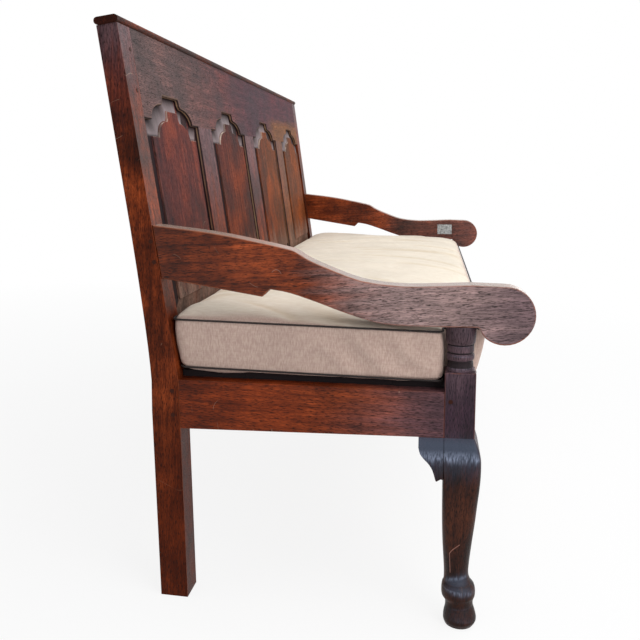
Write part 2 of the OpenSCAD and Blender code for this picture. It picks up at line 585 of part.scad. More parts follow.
// Part of the crown that is left where an arm presses the cushion
function pressed(q) = abs(q[0]) < half_l - arm_set - arm_t - press_in ? 1 :
    max(0, min(1, (q[1] - squab_leg - arm_press[0]) / (arm_press[1] - arm_press[0])));
function squab_point(p, r) =
    let (d = p - squab_mid,
         inner = squab_mid + [d[0] * (1 - (1 - r[0]) * squab_ratio), d[1] * r[0]],
         q = inner + r[1] * swell_out * swell_dir(p),
         back = (q[1] - squab_front) / (squab_back - squab_front),
         lean_back = max(0, 2 * back - 1),
         tuck = max(0, (squab_leg - q[1]) / (squab_leg - squab_front)) * (1 - r[3]),
         z = r[2] * (cushion_lift + seam_rise * back) + r[3] * cushion_h + r[4] * crown * pressed(q),
         behind = rake_y(deck_top(0) + z) - rake_y(deck_top(0)))
    [q[0], q[1] + lean_back * behind + tuck * front_tuck, z];
module cushion() multmatrix([[1, 0, 0, 0], [0, 1, 0, 0], [0, deck_slope, 1, deck_top(0)], [0, 0, 0, 1]]) {
    n = len(squab_plan);
    rings = len(squab_shares);
    pts = [for (r = squab_shares) for (p = squab_plan) squab_point(p, r)];
    ends = [squab_point(squab_mid, [0, 0, 0, 0, 0]), squab_point(squab_mid, [0, 0, 1, 1, 1])];
    faces = concat(ring_sides(rings, n), [for (i = [0:n - 1]) [len(pts), i, (i + 1) % n]],
        [for (i = [0:n - 1]) [len(pts) + 1, (rings - 1) * n + (i + 1) % n, (rings - 1) * n + i]]);
    polyhedron(concat(pts, ends), faces);
}

// Zinc plate over an old repair, on the inner face of the right arm above the leg
plate_t = 1.2;
plate_up = 20;         // underside of the arm to the plate
plate_h = 37;
plate_z = arm_rest_z + plate_up;
nail_in = 6;           // edge of the plate to the middle of a nail
nail_d = 4;            // head of a nail
shank_d = 2;
nail_l = 8;
head_t = 0.6;
nail_n = 24;
// Places what is drawn along Z, from the arm's inner face inwards, at each nail
module at_nails() right_end()
    for (y = [leg_front + nail_in, leg_back - nail_in])
        for (z = [plate_z + nail_in, plate_z + plate_h - nail_in])
            translate([arm_set + arm_t, y, z]) rotate([0, 90, 0]) children();
module nail_shank(out = 0) translate([0, 0, -nail_l])
    cylinder(d = shank_d, h = nail_l + plate_t + out, $fn = nail_n);
module mending_plate() difference() {
    right_end() box([arm_set + arm_t, leg_front, plate_z],
        [arm_set + arm_t + plate_t, leg_back, plate_z + plate_h]);
    at_nails() nail_shank(over);
}
module mending_plate_nails() at_nails() {
    nail_shank();
    translate([0, 0, plate_t]) cylinder(d = nail_d, h = head_t, $fn = nail_n);
}

// The separate pieces, each in its finish and standing on the floor
module rear_post_left() color(oak) standing() left_end() rear_post();
module rear_post_right() color(oak) standing() right_end() rear_post();
module front_leg_left() color(dark_oak) standing() left_end() front_leg();
module front_leg_right() color(dark_oak) standing() right_end() front_leg();
module side_bracket_left() color(dark_oak) standing() left_end() bracket();
module side_bracket_right() color(dark_oak) standing() right_end() bracket();
module front_bracket_left() color(dark_oak) standing() left_end() front_side() bracket();
module front_bracket_right() color(dark_oak) standing() right_end() front_side() bracket();
module side_rail_left() color(oak) standing() left_end() side_rail();
module side_rail_right() color(oak) standing() right_end() side_rail();
module front_seat_rail() color(oak) standing() front_rail();
module rear_seat_rail() color(oak) standing() back_seat_rail();
module lower_rail() color(oak) standing() bottom_rail();
module upper_rail() color(oak) standing() top_rail();
module back_muntin(i) color(oak) standing() muntin(i);
module back_panel(i) color(worn_oak) standing() panel(i);
module cap() color(oak) standing() cap_moulding();
module arm_left() color(worn_oak) standing() left_end() arm();
module arm_right() color(worn_oak) standing() difference() {
    right_end() arm();
    at_nails() nail_shank();
}
module seat_bearer(i) color(pine) standing() bearer(i);
module board(i) color(pine) standing() seat_board(i);
module rail_pegs() color(peg_oak) standing() both_ends()
    cross_pegs(concat(side_pegs, leg_pegs), peg_d, peg_proud);
module front_joint_pegs() color(peg_oak) standing() both_ends()
    front_pegs(front_rail_peg, leg_front - peg_proud, leg_front + peg_l, peg_d);
module back_joint_pegs() color(peg_oak) standing() {
    both_ends() front_pegs(seat_rail_pegs, -peg_proud, peg_l, peg_d);
    in_back() both_ends() front_pegs(back_peg_places, -peg_proud, back_peg_l, peg_d);
}
module arm_joint_pegs() color(peg_oak) standing() both_ends() cross_pegs(arm_peg_at, peg_d, peg_proud);
module plate() color(zinc) standing() mending_plate();
module plate_nail_set() color(zinc) standing() mending_plate_nails();
module squab() color(linen) standing() cushion();

rear_post_left();
rear_post_right();
front_leg_left();
front_leg_right();
side_bracket_left();
side_bracket_right();
front_bracket_left();
front_bracket_right();
side_rail_left();
side_rail_right();
front_seat_rail();  // front_rail
rear_seat_rail();  // back_seat_rail
lower_rail();  // bottom_rail
upper_rail();  // top_rail
for (i = [0:panels - 2]) back_muntin(i);
for (i = [0:panels - 1]) back_panel(i);
cap();  // cap_moulding
arm_left();
arm_right();
for (i = [0:bearers - 1]) seat_bearer(i);
for (i = [0:boards - 1]) board(i);
rail_pegs();  // side_rail_pegs
front_joint_pegs();  // front_rail_pegs
back_joint_pegs();  // back_pegs
arm_joint_pegs();  // arm_pegs
plate();  // mending_plate
plate_nail_set();  // mending_plate_nails
squab();  // cushion
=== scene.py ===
"""Looks of an oak settle: waxed frame pieces with wear, fielded panels, cabriole legs and a piped squab,
with painted light and shade in their colours.
"""

import math
from types import SimpleNamespace

import bmesh
import bpy
from mathutils import Matrix, Vector, noise
from mathutils.kdtree import KDTree


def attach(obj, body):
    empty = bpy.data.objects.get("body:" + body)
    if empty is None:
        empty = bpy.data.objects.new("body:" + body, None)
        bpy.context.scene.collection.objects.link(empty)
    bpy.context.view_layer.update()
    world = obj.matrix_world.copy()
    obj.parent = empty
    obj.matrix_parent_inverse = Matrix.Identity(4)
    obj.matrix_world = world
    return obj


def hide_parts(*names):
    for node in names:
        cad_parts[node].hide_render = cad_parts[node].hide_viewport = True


bl_info = {
    "name": "Oak settle",
    "version": (1, 0, 0),
    "blender": (4, 5, 0),
    "location": "3D View > Sidebar > Settle",
    "description": "Dresses the frame of an oak settle with its panels, legs, cushion and finishes",
    "category": "Object",
}

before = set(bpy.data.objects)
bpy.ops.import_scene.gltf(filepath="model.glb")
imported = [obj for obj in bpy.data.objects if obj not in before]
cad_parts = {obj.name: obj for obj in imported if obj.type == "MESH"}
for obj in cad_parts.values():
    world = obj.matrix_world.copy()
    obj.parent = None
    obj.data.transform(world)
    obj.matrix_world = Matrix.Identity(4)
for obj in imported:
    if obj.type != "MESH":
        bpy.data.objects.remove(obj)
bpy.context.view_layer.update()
MM = 0.001
# Points that are closer than this are one point
WELD = 0.01 * MM
# Edges that are rubbed turn by more than this angle and are longer than this
SHARP = math.radians(30)
SHORT_EDGE = 2.5 * MM

# Sizes of the frame, in metres, in the joiner's axes: X from the outer face of the left end, Y = 0 at the
# front of the rear posts and Z = 0 at their feet
HALF_L = 0.915
POST_W = 0.058
LEG_W = 0.055
LEG_BACK = -0.491
LEG_FRONT = LEG_BACK - LEG_W
LEG_MID = LEG_BACK - LEG_W / 2
RAIL_BOTTOM = 0.347
BLOCK_TOP = 0.468
ARM_REST = 0.550
FRONT_DROP = 0.025
ARM_IN = 0.046
ARM_REAR_Z = 0.729
ARM_UNDER_Z = 0.632
# Underside of an arm: shares of the way to its front, and of the notch's height
ARM_UNDER_SHARES = [(0.880, 0), (0.758, 0.02), (0.686, 0.09), (0.587, 0.31), (0.523, 0.48), (0.430, 0.70),
                    (0.367, 0.78)]
# Legs: how far the knee and the hoof stand out and the ankle stands in, and the least radius of their edges
KNEE_OUT = 0.013
HOOF_OUT = 0.013
ANKLE_IN = 0.010
LEG_EDGE_R = 2 * MM
CUP_R = 0.027
NECK_R = 0.024
BRACKET_L = 0.045
BRACKET_H = 0.079
BRACKET_T = 0.040
BRACKET_CUTS = 16

# The back lies in a raked plane, and the whole frame leans back onto its rear feet
LEAN = math.radians(2.71084)
RAKE = math.radians(7.3)
KINK_H = 0.440
MID_Y = -0.221976
STAND = Matrix.Translation((0, -MID_Y, 0)) @ Matrix.Rotation(-LEAN, 4, "X")
LEFT = STAND @ Matrix.Translation((-HALF_L, 0, 0))
RIGHT = STAND @ Matrix.Scale(-1, 4, (1, 0, 0)) @ Matrix.Translation((-HALF_L, 0, 0))
IN_BACK = STAND @ Matrix.Translation((0, 0, KINK_H)) @ Matrix.Rotation(-RAKE, 4, "X")

# Panels and their openings, in the plane of the back: X along it, W into it and V up it
PANELS = 4
MUNTIN_W = 0.110
OPENING_W = (2 * HALF_L - 2 * POST_W - (PANELS - 1) * MUNTIN_W) / PANELS
PITCH = OPENING_W + MUNTIN_W
FIELD_V = 0.106
TOP_V = 0.485
ARCH_RISE = 0.049
ARCH_TOP = 0.096
# An arched head breaks at a share of its rise, and steps in beside its top by a share of the top's width
ARCH_BREAK = 0.62
ARCH_STEP = 0.14
SHOULDER = 0.044
GROOVE_W = 0.010
# Depths into the back between which the moulding gets its painted highlight line
LINE_W = (0.0036, 0.0066)
TONGUE_T = 0.006
TONGUE_IN = 0.0065
BEVEL_W = 0.034
FIELD_DROP = 0.032
FIELD_RISE = 0.053
FIELD_TOP = 0.062
FIELD_SHOULDER = 0.040
PANEL_FRONT = 1.0 * MM
# Way that the panels' painted edge highlights face, as X and up, and the strength of the painted highlight
# line along the mouldings, which is stronger than any edge wear
HIGHLIGHT_WAY = (-0.6, 0.8)
LINE_HIGHLIGHT = 1.7
# Height above which the panels' recesses that face the light take a painted silver reflection
SILVER_Z = 0.885

# Seat and cushion
DECK_TOP = 0.454
DECK_SLOPE = 0.010 / 0.491
CUSHION_IN = 0.014
CUSHION_GAP = 0.004
CUSHION_LIFT = 0.004
SEAM_RISE = 0.006
CUSHION_H = 0.090
FRONT_TUCK = 0.018
SQUAB_FRONT = LEG_FRONT - 0.022
SQUAB_LEG = LEG_BACK + CUSHION_GAP
SQUAB_BACK = (DECK_TOP - KINK_H) * math.tan(RAKE) - 0.0035
TONGUE_X = HALF_L - LEG_W - CUSHION_GAP
CUSHION_X = HALF_L - CUSHION_IN
CORNER_R = 0.012
FRONT_R = 0.034
# Room that the cover keeps from the legs, the arms, the back and the seat
NOTCH_GAP = 1.2 * MM
ARM_GAP = 1.5 * MM
BACK_GAP = 0.6 * MM
SEAT_GAP = 0.2 * MM

# Cushion's cover: how far each cord holds it, and the share of the swell that is kept upwards
SEAM_HOLD = 0.02
SWELL_UP = 0.4
# Simulation of the filling: its frames
FILL_FRAMES = 20
# Creases per metre across and along the top, how far they wander, their height, the share and depth of their
# folds, and the breaks per metre in these
CREASES = (13, 2.2)
CREASE_WANDER = 1.6
CREASE_FADE = 0.020
CREASE_H = 5.0 * MM
FOLD_SHARE = 0.16
FOLD_D = 2.6 * MM
BREAKS = (6, 8)
# Lower edge of the boxing, which hangs over the side rails
HANG_X = HALF_L - 0.030
HANG_FADE = 0.005
HANG_D = 6 * MM
HANG_OUT = 2 * MM
# Slanting pulls in the boxing, towards its front corner
PULL_Y = (0.22, 0.32)
PULL_GAP = 0.055
PULL_D = 6 * MM
PULL_WANDER = 2.5

# Patterns of the waxed oak, by the distance between their marks: patches of wax 140 mm wide, mottling,
# knocks, and scratches some 30 mm long on the contour lines of a slower pattern
PATCH_GAP = 142.857 * MM
MOTTLE_GAP = 33.3333 * MM
KNOCK_GAP = 47.619 * MM
HAIRLINE_GAP = 166.667 * MM
HAIRLINE_L = 32.2581 * MM
# Rings, pores, fibres and brush strokes are drawn coarser than they are so that they show, and rings and
# pores are drawn out along the board
RING_GAP = 11.7647 * MM
RINGS_DRAWN = 0.06
PORE_GAP = 1.25 * MM
PORES_DRAWN = 0.12
FIBRE_GAP = 3.0303 * MM
STROKE_GAP = 2.38095 * MM
# Patterns of the other materials. Pine rings, end grain, threads and twill are drawn coarser too
PINE_GAP = 11.1111 * MM
END_GRAIN_GAP = 1.11111 * MM
ZINC_GAP = 7.69231 * MM
THREAD_GAP = 2.38095 * MM
CLOTH_PATCH = 111.111 * MM
SLACK_GAP = 62.5 * MM
TWILL_GAP = 6.25 * MM
# Most that a tint's border wanders, the width over which one begins, and that over which the silver begins
TINT_SPREAD = 0.25
TINT_FADE = 0.18
SILVER_FADE = 0.006
# Shares of slate dusting and painted sky reflection on the legs by height: most at the ankle and on the knee
DUST_AND_SHEEN_BY_HEIGHT = [(0.05, 0.1), (0.08, 0.75), (0.11, 0.75), (0.13, 0.1), (0.26, 0.1), (0.31, 0.9), (0.36, 1.0),
                  (0.39, 0.2)]

# Long scratch down the near front leg, as Y and Z
SCRATCH = ((-0.295, 0.1673), (-0.2823, 0.1553), (-0.2779, 0.1472), (-0.2818, 0.1064))

# Camera that saw the settle: its place, its right and up directions, its lens and its sensor's width in mm
CAMERA_AT = (-2.2894, -0.1977, 0.8458)
CAMERA_RIGHT = (0.13609, -0.98998, 0.03768)
CAMERA_UP = (0.18704, 0.06303, 0.98033)
CAMERA_LENS = 44.38
SENSOR_W = 36

# Floor: half its width, and the distances between which the settle's shadow fades out
FLOOR_HALF_W = 40
SHADOW_REACH = (1.2, 3.5)

# Lamps: name, power in watts, width, place and the point that each is turned to
LAMPS = (("top lamp", 62, 3.0, (-0.6, -0.9, 3.2), (0.0, 0.0, 0.5)),
         ("side lamp", 60, 2.4, (-3.2, -2.6, 1.9), (-0.4, 0.0, 0.5)),
         ("far lamp", 35, 2.4, (3.4, -2.2, 1.8), (0.3, 0.1, 0.6)))


def srgb(text):
    """Linear RGB of an sRGB hex colour."""
    parts = [int(text[i:i + 2], 16) / 255 for i in (1, 3, 5)]
    return tuple(c / 12.92 if c <= 0.04045 else ((c + 0.055) / 1.055) ** 2.4 for c in parts)


def colour(text, name, about):
    """Colour property that starts at an sRGB hex colour."""
    return bpy.props.FloatVectorProperty(
        name=name, description=about, default=srgb(text), subtype="COLOR", min=0, max=1, size=3)


def length(value, name, about):
    """Length property in metres."""
    return bpy.props.FloatProperty(name=name, description=about, default=value, unit="LENGTH", min=0)


class SettleSizes(bpy.types.PropertyGroup):
    """Sizes that shape the visible pieces."""
    arris: length(1.5 * MM, "Arris", "Width of the rubbed edges of posts and rails")
    joint: length(0.7 * MM, "Joint edge", "Width of the broken edges at the joints of the back")
    arm_edge: length(3.2 * MM, "Arm edge", "Radius of the arms' handled edges")
    ovolo: length(5 * MM, "Ovolo", "Width of the moulding round the panel openings")
    step: length(3.4 * MM, "Field step", "Height of the step round a panel's raised field")
    piping: length(1.8 * MM, "Piping radius", "Radius of the cushion's piping")
    voxel: length(9 * MM, "Cushion voxel", "Mesh size of the cushion before the simulation")
    swell: length(14 * MM, "Swell", "Most that the filling may push the cover outwards")
    pressure: bpy.props.FloatProperty(
        name="Pressure", description="Pressure of the filling in the simulation", default=3.5, min=0)


class SettleColours(bpy.types.PropertyGroup):
    """Colours of the finishes, and of the painted light and shade laid on them."""
    oak_deep: colour("#33130a", "Deep oak", "Darkest figure of the waxed oak")
    oak_red: colour("#5e2610", "Red oak", "Body of the waxed oak")
    oak_light: colour("#883d1c", "Light oak", "Lightest figure of the waxed oak")
    oak_low: colour("#441402", "Low oak", "Red-brown oak near the floor")
    # Painted highlight: warm orange where the light falls on the side rails, towards their rear
    orange_highlight: colour("#70290a", "Ember oak", "Warmest oak, towards the rear of the side rails")
    # Painted reflection of warm light on the far end of the back
    warm_reflection: colour("#84532c", "Golden oak", "Faded oak at the far end of the back")
    # Wax haze with a painted sheen: the grey-pink stands in partly for the bright room reflected at grazing
    # angles
    bloom_and_sheen: colour("#655055", "Bloom", "Grey-pink bloom of old wax")
    # Painted reflection on the front of the arms' outer faces
    sheen: colour("#aa908d", "Sheen", "Pink-grey sheen on the handled part of the arms")
    # Wax haze with a painted sheen: the purple-grey stands in for the bright room reflected at grazing angles
    violet_bloom_and_sheen: colour("#402b39", "Violet bloom", "Violet bloom on the top rail")
    # Wax haze with a painted sheen, grey-brown, along the top rail near the posts
    smoke_and_sheen: colour("#594a4a", "Smoke", "Grey-brown bloom near the posts")
    dark_deep: colour("#1f110d", "Deep dark oak", "Darkest figure of the legs")
    dark_red: colour("#2d1711", "Dark oak", "Body of the darker legs")
    dark_light: colour("#432215", "Light dark oak", "Lightest figure of the legs")
    # Slate dusting with a painted sky reflection where the legs face up
    dust_and_sky_sheen: colour("#454e5e", "Dust", "Slate dust in the wax where the oak faces up")
    # Painted highlight where the knees turn down
    knee_highlight: colour("#8d97ae", "Pale dust", "Paler dust where the knees turn down")
    # Grime with painted shade, for the recesses and the seat boards' ends
    dirt_and_shade: colour("#20191b", "Dirt", "Dirt in the hollows that face sideways")
    # Painted reflection of the light in the panels' recesses that face up
    silver: colour("#8c8082", "Silver", "Rubbed wax in the hollows that face up")
    # Bare oak on rubbed edges; the same edge mark carries painted highlights on the panels and mouldings
    worn: colour("#8f5136", "Worn edge", "Oak rubbed bare along the edges")
    # Painted highlight: the line where the mouldings round the openings catch the light
    moulding: colour("#93765c", "Moulding", "Rubbed line along the mouldings round the openings")
    glow: colour("#8d7768", "Glow", "Paler wax low on the back, behind the cushion")
    # Painted highlight on the panels' field edges, and a painted reflection on the arms' upper faces
    pale: colour("#cfbfb0", "Pale edge", "Edge of the panels' raised fields")
    knock: colour("#a98b78", "Knock", "Small bruises that show pale wood")
    # Painted shade with soil in the bottoms of the cover's creases
    fold: colour("#efe8dd", "Fold", "Soiled bottoms of the cover's creases")
    scratch: colour("#c08a7c", "Scratch", "Long scratch on the near leg")
    pine: colour("#8d6f4e", "Pine", "Bare seat boards")
    peg: colour("#3a1f16", "Pegs", "End grain of the pegs")
    # The boxing and the faces are one cloth: the two linen colours are its painted shade on the sides
    linen: colour("#b0958a", "Linen", "Body of the cushion's boxing")
    linen_pale: colour("#c3ab9e", "Pale linen", "Pale threads of the boxing")
    # The two cream colours are the same cloth with painted light where it faces up
    cream: colour("#e6d9c6", "Cream linen", "Body of the cushion's faces")
    cream_pale: colour("#f1e7d6", "Pale cream linen", "Pale threads of the cushion's faces")
    piping: colour("#241a18", "Piping", "Cord sewn into the cushion's seams")
    zinc: colour("#b0b2b3", "Zinc", "Mending plate")
    floor: colour("#f2f2f2", "Floor", "Floor and backdrop")


def sizes():
    """Sizes as they are set now."""
    return bpy.context.scene.settle_sizes


def tones():
    """Colours as they are set now, each as linear RGB."""
    group = bpy.context.scene.settle_colours
    return SimpleNamespace(**{name: tuple(getattr(group, name)) for name in SettleColours.__annotations__})


def add(tree, kind, inputs=None, stops=None, **settings):
    """Adds a node with its settings, its ramp stops and its input values or links."""
    node = tree.nodes.new(kind)
    for key, value in settings.items():
        setattr(node, key, value)
    if stops:
        elements = node.color_ramp.elements
        while len(elements) < len(stops):
            elements.new(0.5)
        for element, (place, shade) in zip(elements, stops):
            element.position = place
            element.color = (*shade, 1) if isinstance(shade, tuple) else (shade, shade, shade, 1)
    for socket, value in (inputs or {}).items():
        if isinstance(value, bpy.types.NodeSocket):
            tree.links.new(value, node.inputs[socket])
        elif isinstance(value, tuple) and len(value) == 3 and node.inputs[socket].type == "RGBA":
            node.inputs[socket].default_value = (*value, 1)
        else:
            node.inputs[socket].default_value = value
    return node


def new_material(name):
    """Empty node material and its tree."""
    material = bpy.data.materials.new(name)
    material.use_nodes = True
    material.node_tree.nodes.clear()
    return material, material.node_tree


def shade_by(tree, place, direction, start, end, spread, noise_fac):
    """Mask that grows from 0 to 1 along a direction, with an uneven border."""
    dot = add(tree, "ShaderNodeVectorMath", {0: place, 1: direction},
              operation="DOT_PRODUCT").outputs["Value"]
    shift = add(tree, "ShaderNodeMath", {0: noise_fac, 1: 0.5}, operation="SUBTRACT").outputs[0]
    uneven = add(tree, "ShaderNodeMath", {0: shift, 1: spread, 2: dot}, operation="MULTIPLY_ADD").outputs[0]
    return add(tree, "ShaderNodeMapRange", {"Value": uneven, "From Min": start, "From Max": end},
               interpolation_type="SMOOTHSTEP").outputs[0]


def on_line(tree, place, one, two):
    """Mask of a thin line between two points in Y and Z, on the left end's outer face."""
    start, end = Vector((0, *one)), Vector((0, *two))
    along = (end - start).normalized()
    flat = add(tree, "ShaderNodeVectorMath", {0: place, 1: (0, 1, 1)}, operation="MULTIPLY").outputs[0]
    gone = add(tree, "ShaderNodeVectorMath", {0: flat, 1: tuple(start)}, operation="SUBTRACT").outputs[0]
    reach = add(tree, "ShaderNodeVectorMath", {0: gone, 1: tuple(along)},
                operation="DOT_PRODUCT").outputs["Value"]
    reach = add(tree, "ShaderNodeClamp", {"Value": reach, "Max": (end - start).length}).outputs[0]
    foot = add(tree, "ShaderNodeVectorMath", {0: tuple(along), 3: reach}, operation="SCALE").outputs[0]
    away = add(tree, "ShaderNodeVectorMath", {0: gone, 1: foot}, operation="DISTANCE").outputs["Value"]
    mask = add(tree, "ShaderNodeMapRange",
               {"Value": away, "From Min": 0.7 * MM, "From Max": 0.2 * MM, "To Max": 0.7})
    outer = add(tree, "ShaderNodeSeparateXYZ", {"Vector": place}).outputs["X"]
    outer = add(tree, "ShaderNodeMath", {0: outer, 1: LEG_W / 2 - HALF_L}, operation="LESS_THAN").outputs[0]
    return add(tree, "ShaderNodeMath", {0: mask.outputs[0], 1: outer}, operation="MULTIPLY").outputs[0]


def oak_patterns(tree, turn, seed):
    """Patterns of the oak, the place on the piece and the way that it faces."""
    place = add(tree, "ShaderNodeTexCoord").outputs["Object"]
    grain = add(tree, "ShaderNodeMapping",
                {"Vector": place, "Rotation": turn, "Location": (seed, seed / 2, seed / 3)})
    grain = grain.outputs[0]
    along = add(tree, "ShaderNodeMapping", {"Vector": grain, "Scale": (1, 1, RINGS_DRAWN)}).outputs[0]
    short = add(tree, "ShaderNodeMapping", {"Vector": grain, "Scale": (1, 1, PORES_DRAWN)}).outputs[0]
    rings = add(tree, "ShaderNodeTexNoise",
                {"Vector": along, "Scale": 1 / RING_GAP, "Detail": 4.0, "Roughness": 0.62, "Distortion": 0.5})
    fleck = add(tree, "ShaderNodeTexNoise",
                {"Vector": short, "Scale": 1 / PORE_GAP, "Detail": 2.0, "Roughness": 0.6})
    pores = add(tree, "ShaderNodeValToRGB", {"Fac": fleck.outputs[0]}, stops=[(0.36, 0.0), (0.50, 1.0)])
    fine = add(tree, "ShaderNodeTexNoise",
               {"Vector": along, "Scale": 1 / FIBRE_GAP, "Detail": 3.0, "Roughness": 0.7})
    patch = add(tree, "ShaderNodeTexNoise",
                {"Vector": grain, "Scale": 1 / PATCH_GAP, "Detail": 6.0, "Roughness": 0.65})
    mottle = add(tree, "ShaderNodeTexNoise",
                 {"Vector": along, "Scale": 1 / MOTTLE_GAP, "Detail": 6.0, "Roughness": 0.72})
    normal = add(tree, "ShaderNodeNewGeometry").outputs["Normal"]
    facing = add(tree, "ShaderNodeSeparateXYZ", {"Vector": normal}).outputs
    at = add(tree, "ShaderNodeSeparateXYZ", {"Vector": place}).outputs
    return SimpleNamespace(place=place, at=at, facing=facing, grain=grain, rings=rings.outputs[0],
                           fine=fine.outputs[0], pores=pores.outputs[0], patch=patch.outputs[0],
                           mottle=mottle.outputs[0])


def lay_tints(tree, shade, oak, tints, side):
    """Lays the tints over a colour, on all faces or on the front or the outer ones."""
    if side == "front":
        shown = add(tree, "ShaderNodeMapRange", {"Value": oak.facing["Y"], "From Min": 0.4, "From Max": 0.1})
    elif side == "outer":
        outward = add(tree, "ShaderNodeMath", {0: oak.at["X"], 1: oak.facing["X"]},
                      operation="MULTIPLY").outputs[0]
        shown = add(tree, "ShaderNodeMapRange",
                    {"Value": outward, "From Min": -0.3, "From Max": 0.3, "To Min": 0.15})
    for tone, direction, start, end, amount, *from_x in tints:
        spread = min(TINT_SPREAD, 2 * abs(end - start))
        mask = shade_by(tree, oak.place, direction, start, end, spread, oak.mottle)
        limits = [shade_by(tree, oak.place, (1, 0, 0), x, x + TINT_FADE, 0.1, oak.mottle) for x in from_x]
        if side != "all":
            limits.append(shown.outputs[0])
        for limit in (*limits, amount):
            mask = add(tree, "ShaderNodeMath", {0: mask, 1: limit}, operation="MULTIPLY").outputs[0]
        shade = add(tree, "ShaderNodeMix", {0: mask, 6: shade, 7: tone}, data_type="RGBA").outputs[2]
    return shade


def lay_grain(tree, shade, oak):
    """Brings the grain out again under the tints: dark pores, streaks of the rings and broad blotches."""
    streak = add(tree, "ShaderNodeMath", {0: oak.rings, 1: 0.6, 2: oak.fine},
                 operation="MULTIPLY_ADD").outputs[0]
    streak = add(tree, "ShaderNodeMapRange",
                 {"Value": streak, "From Min": 0.55, "From Max": 1.05, "To Min": 0.62,
                  "To Max": 1.52}).outputs[0]
    blotch = add(tree, "ShaderNodeMapRange",
                 {"Value": oak.patch, "From Min": 0.36, "From Max": 0.62, "To Min": 0.70,
                  "To Max": 1.22}).outputs[0]
    for amount, pattern in ((1.0, streak), (0.8, oak.pores), (1.0, blotch)):
        shade = add(tree, "ShaderNodeMix", {0: amount, 6: shade, 7: pattern}, data_type="RGBA",
                    blend_type="MULTIPLY").outputs[2]
    return shade


def lay_dust_and_sheen(tree, shade, oak):
    """Lays slate dusting with a painted sky reflection, and a paler painted highlight where the knees turn
    down, in slanting strokes, on old wax that doesn't face down.
    """
    c = tones()
    slant = add(tree, "ShaderNodeMapping",
                {"Vector": oak.place, "Rotation": (0.9, 0.0, 0.0), "Scale": (1, 1, 0.15)})
    strokes = add(tree, "ShaderNodeTexNoise",
                  {"Vector": slant.outputs[0], "Scale": 1 / STROKE_GAP, "Detail": 2.0})
    strokes = strokes.outputs[0]
    ripple = add(tree, "ShaderNodeMapRange",
                 {"Value": strokes, "From Min": 0.35, "From Max": 0.65, "To Min": -0.02,
                  "To Max": 0.02}).outputs[0]
    facing = add(tree, "ShaderNodeMath", {0: oak.facing["Z"], 1: ripple}, operation="ADD").outputs[0]
    strokes = add(tree, "ShaderNodeMapRange",
                  {"Value": strokes, "From Min": 0.38, "From Max": 0.62}).outputs[0]
    bloom_and_sheen = add(tree, "ShaderNodeValToRGB", {"Fac": facing},
                stops=[(0.03, c.dust_and_sky_sheen), (0.17, c.knee_highlight), (0.33, c.dust_and_sky_sheen)])
    bloom_and_sheen = add(tree, "ShaderNodeMix", {0: strokes, 6: c.dust_and_sky_sheen, 7: bloom_and_sheen.outputs[0]},
                data_type="RGBA").outputs[2]
    level = add(tree, "ShaderNodeMapRange",
                {"Value": facing, "From Min": -0.10, "From Max": 0.2, "To Max": 0.88},
                interpolation_type="SMOOTHSTEP").outputs[0]
    knee = add(tree, "ShaderNodeValToRGB", {"Fac": oak.at["Z"]}, stops=DUST_AND_SHEEN_BY_HEIGHT)
    broad = add(tree, "ShaderNodeMath", {0: oak.facing["X"]}, operation="ABSOLUTE").outputs[0]
    broad = add(tree, "ShaderNodeMapRange",
                {"Value": broad, "From Min": 0.4, "From Max": 0.92, "To Min": 0.15})
    for limit in (knee, broad):
        level = add(tree, "ShaderNodeMath", {0: level, 1: limit.outputs[0]}, operation="MULTIPLY").outputs[0]
    return add(tree, "ShaderNodeMix", {0: level, 6: shade, 7: bloom_and_sheen}, data_type="RGBA").outputs[2]


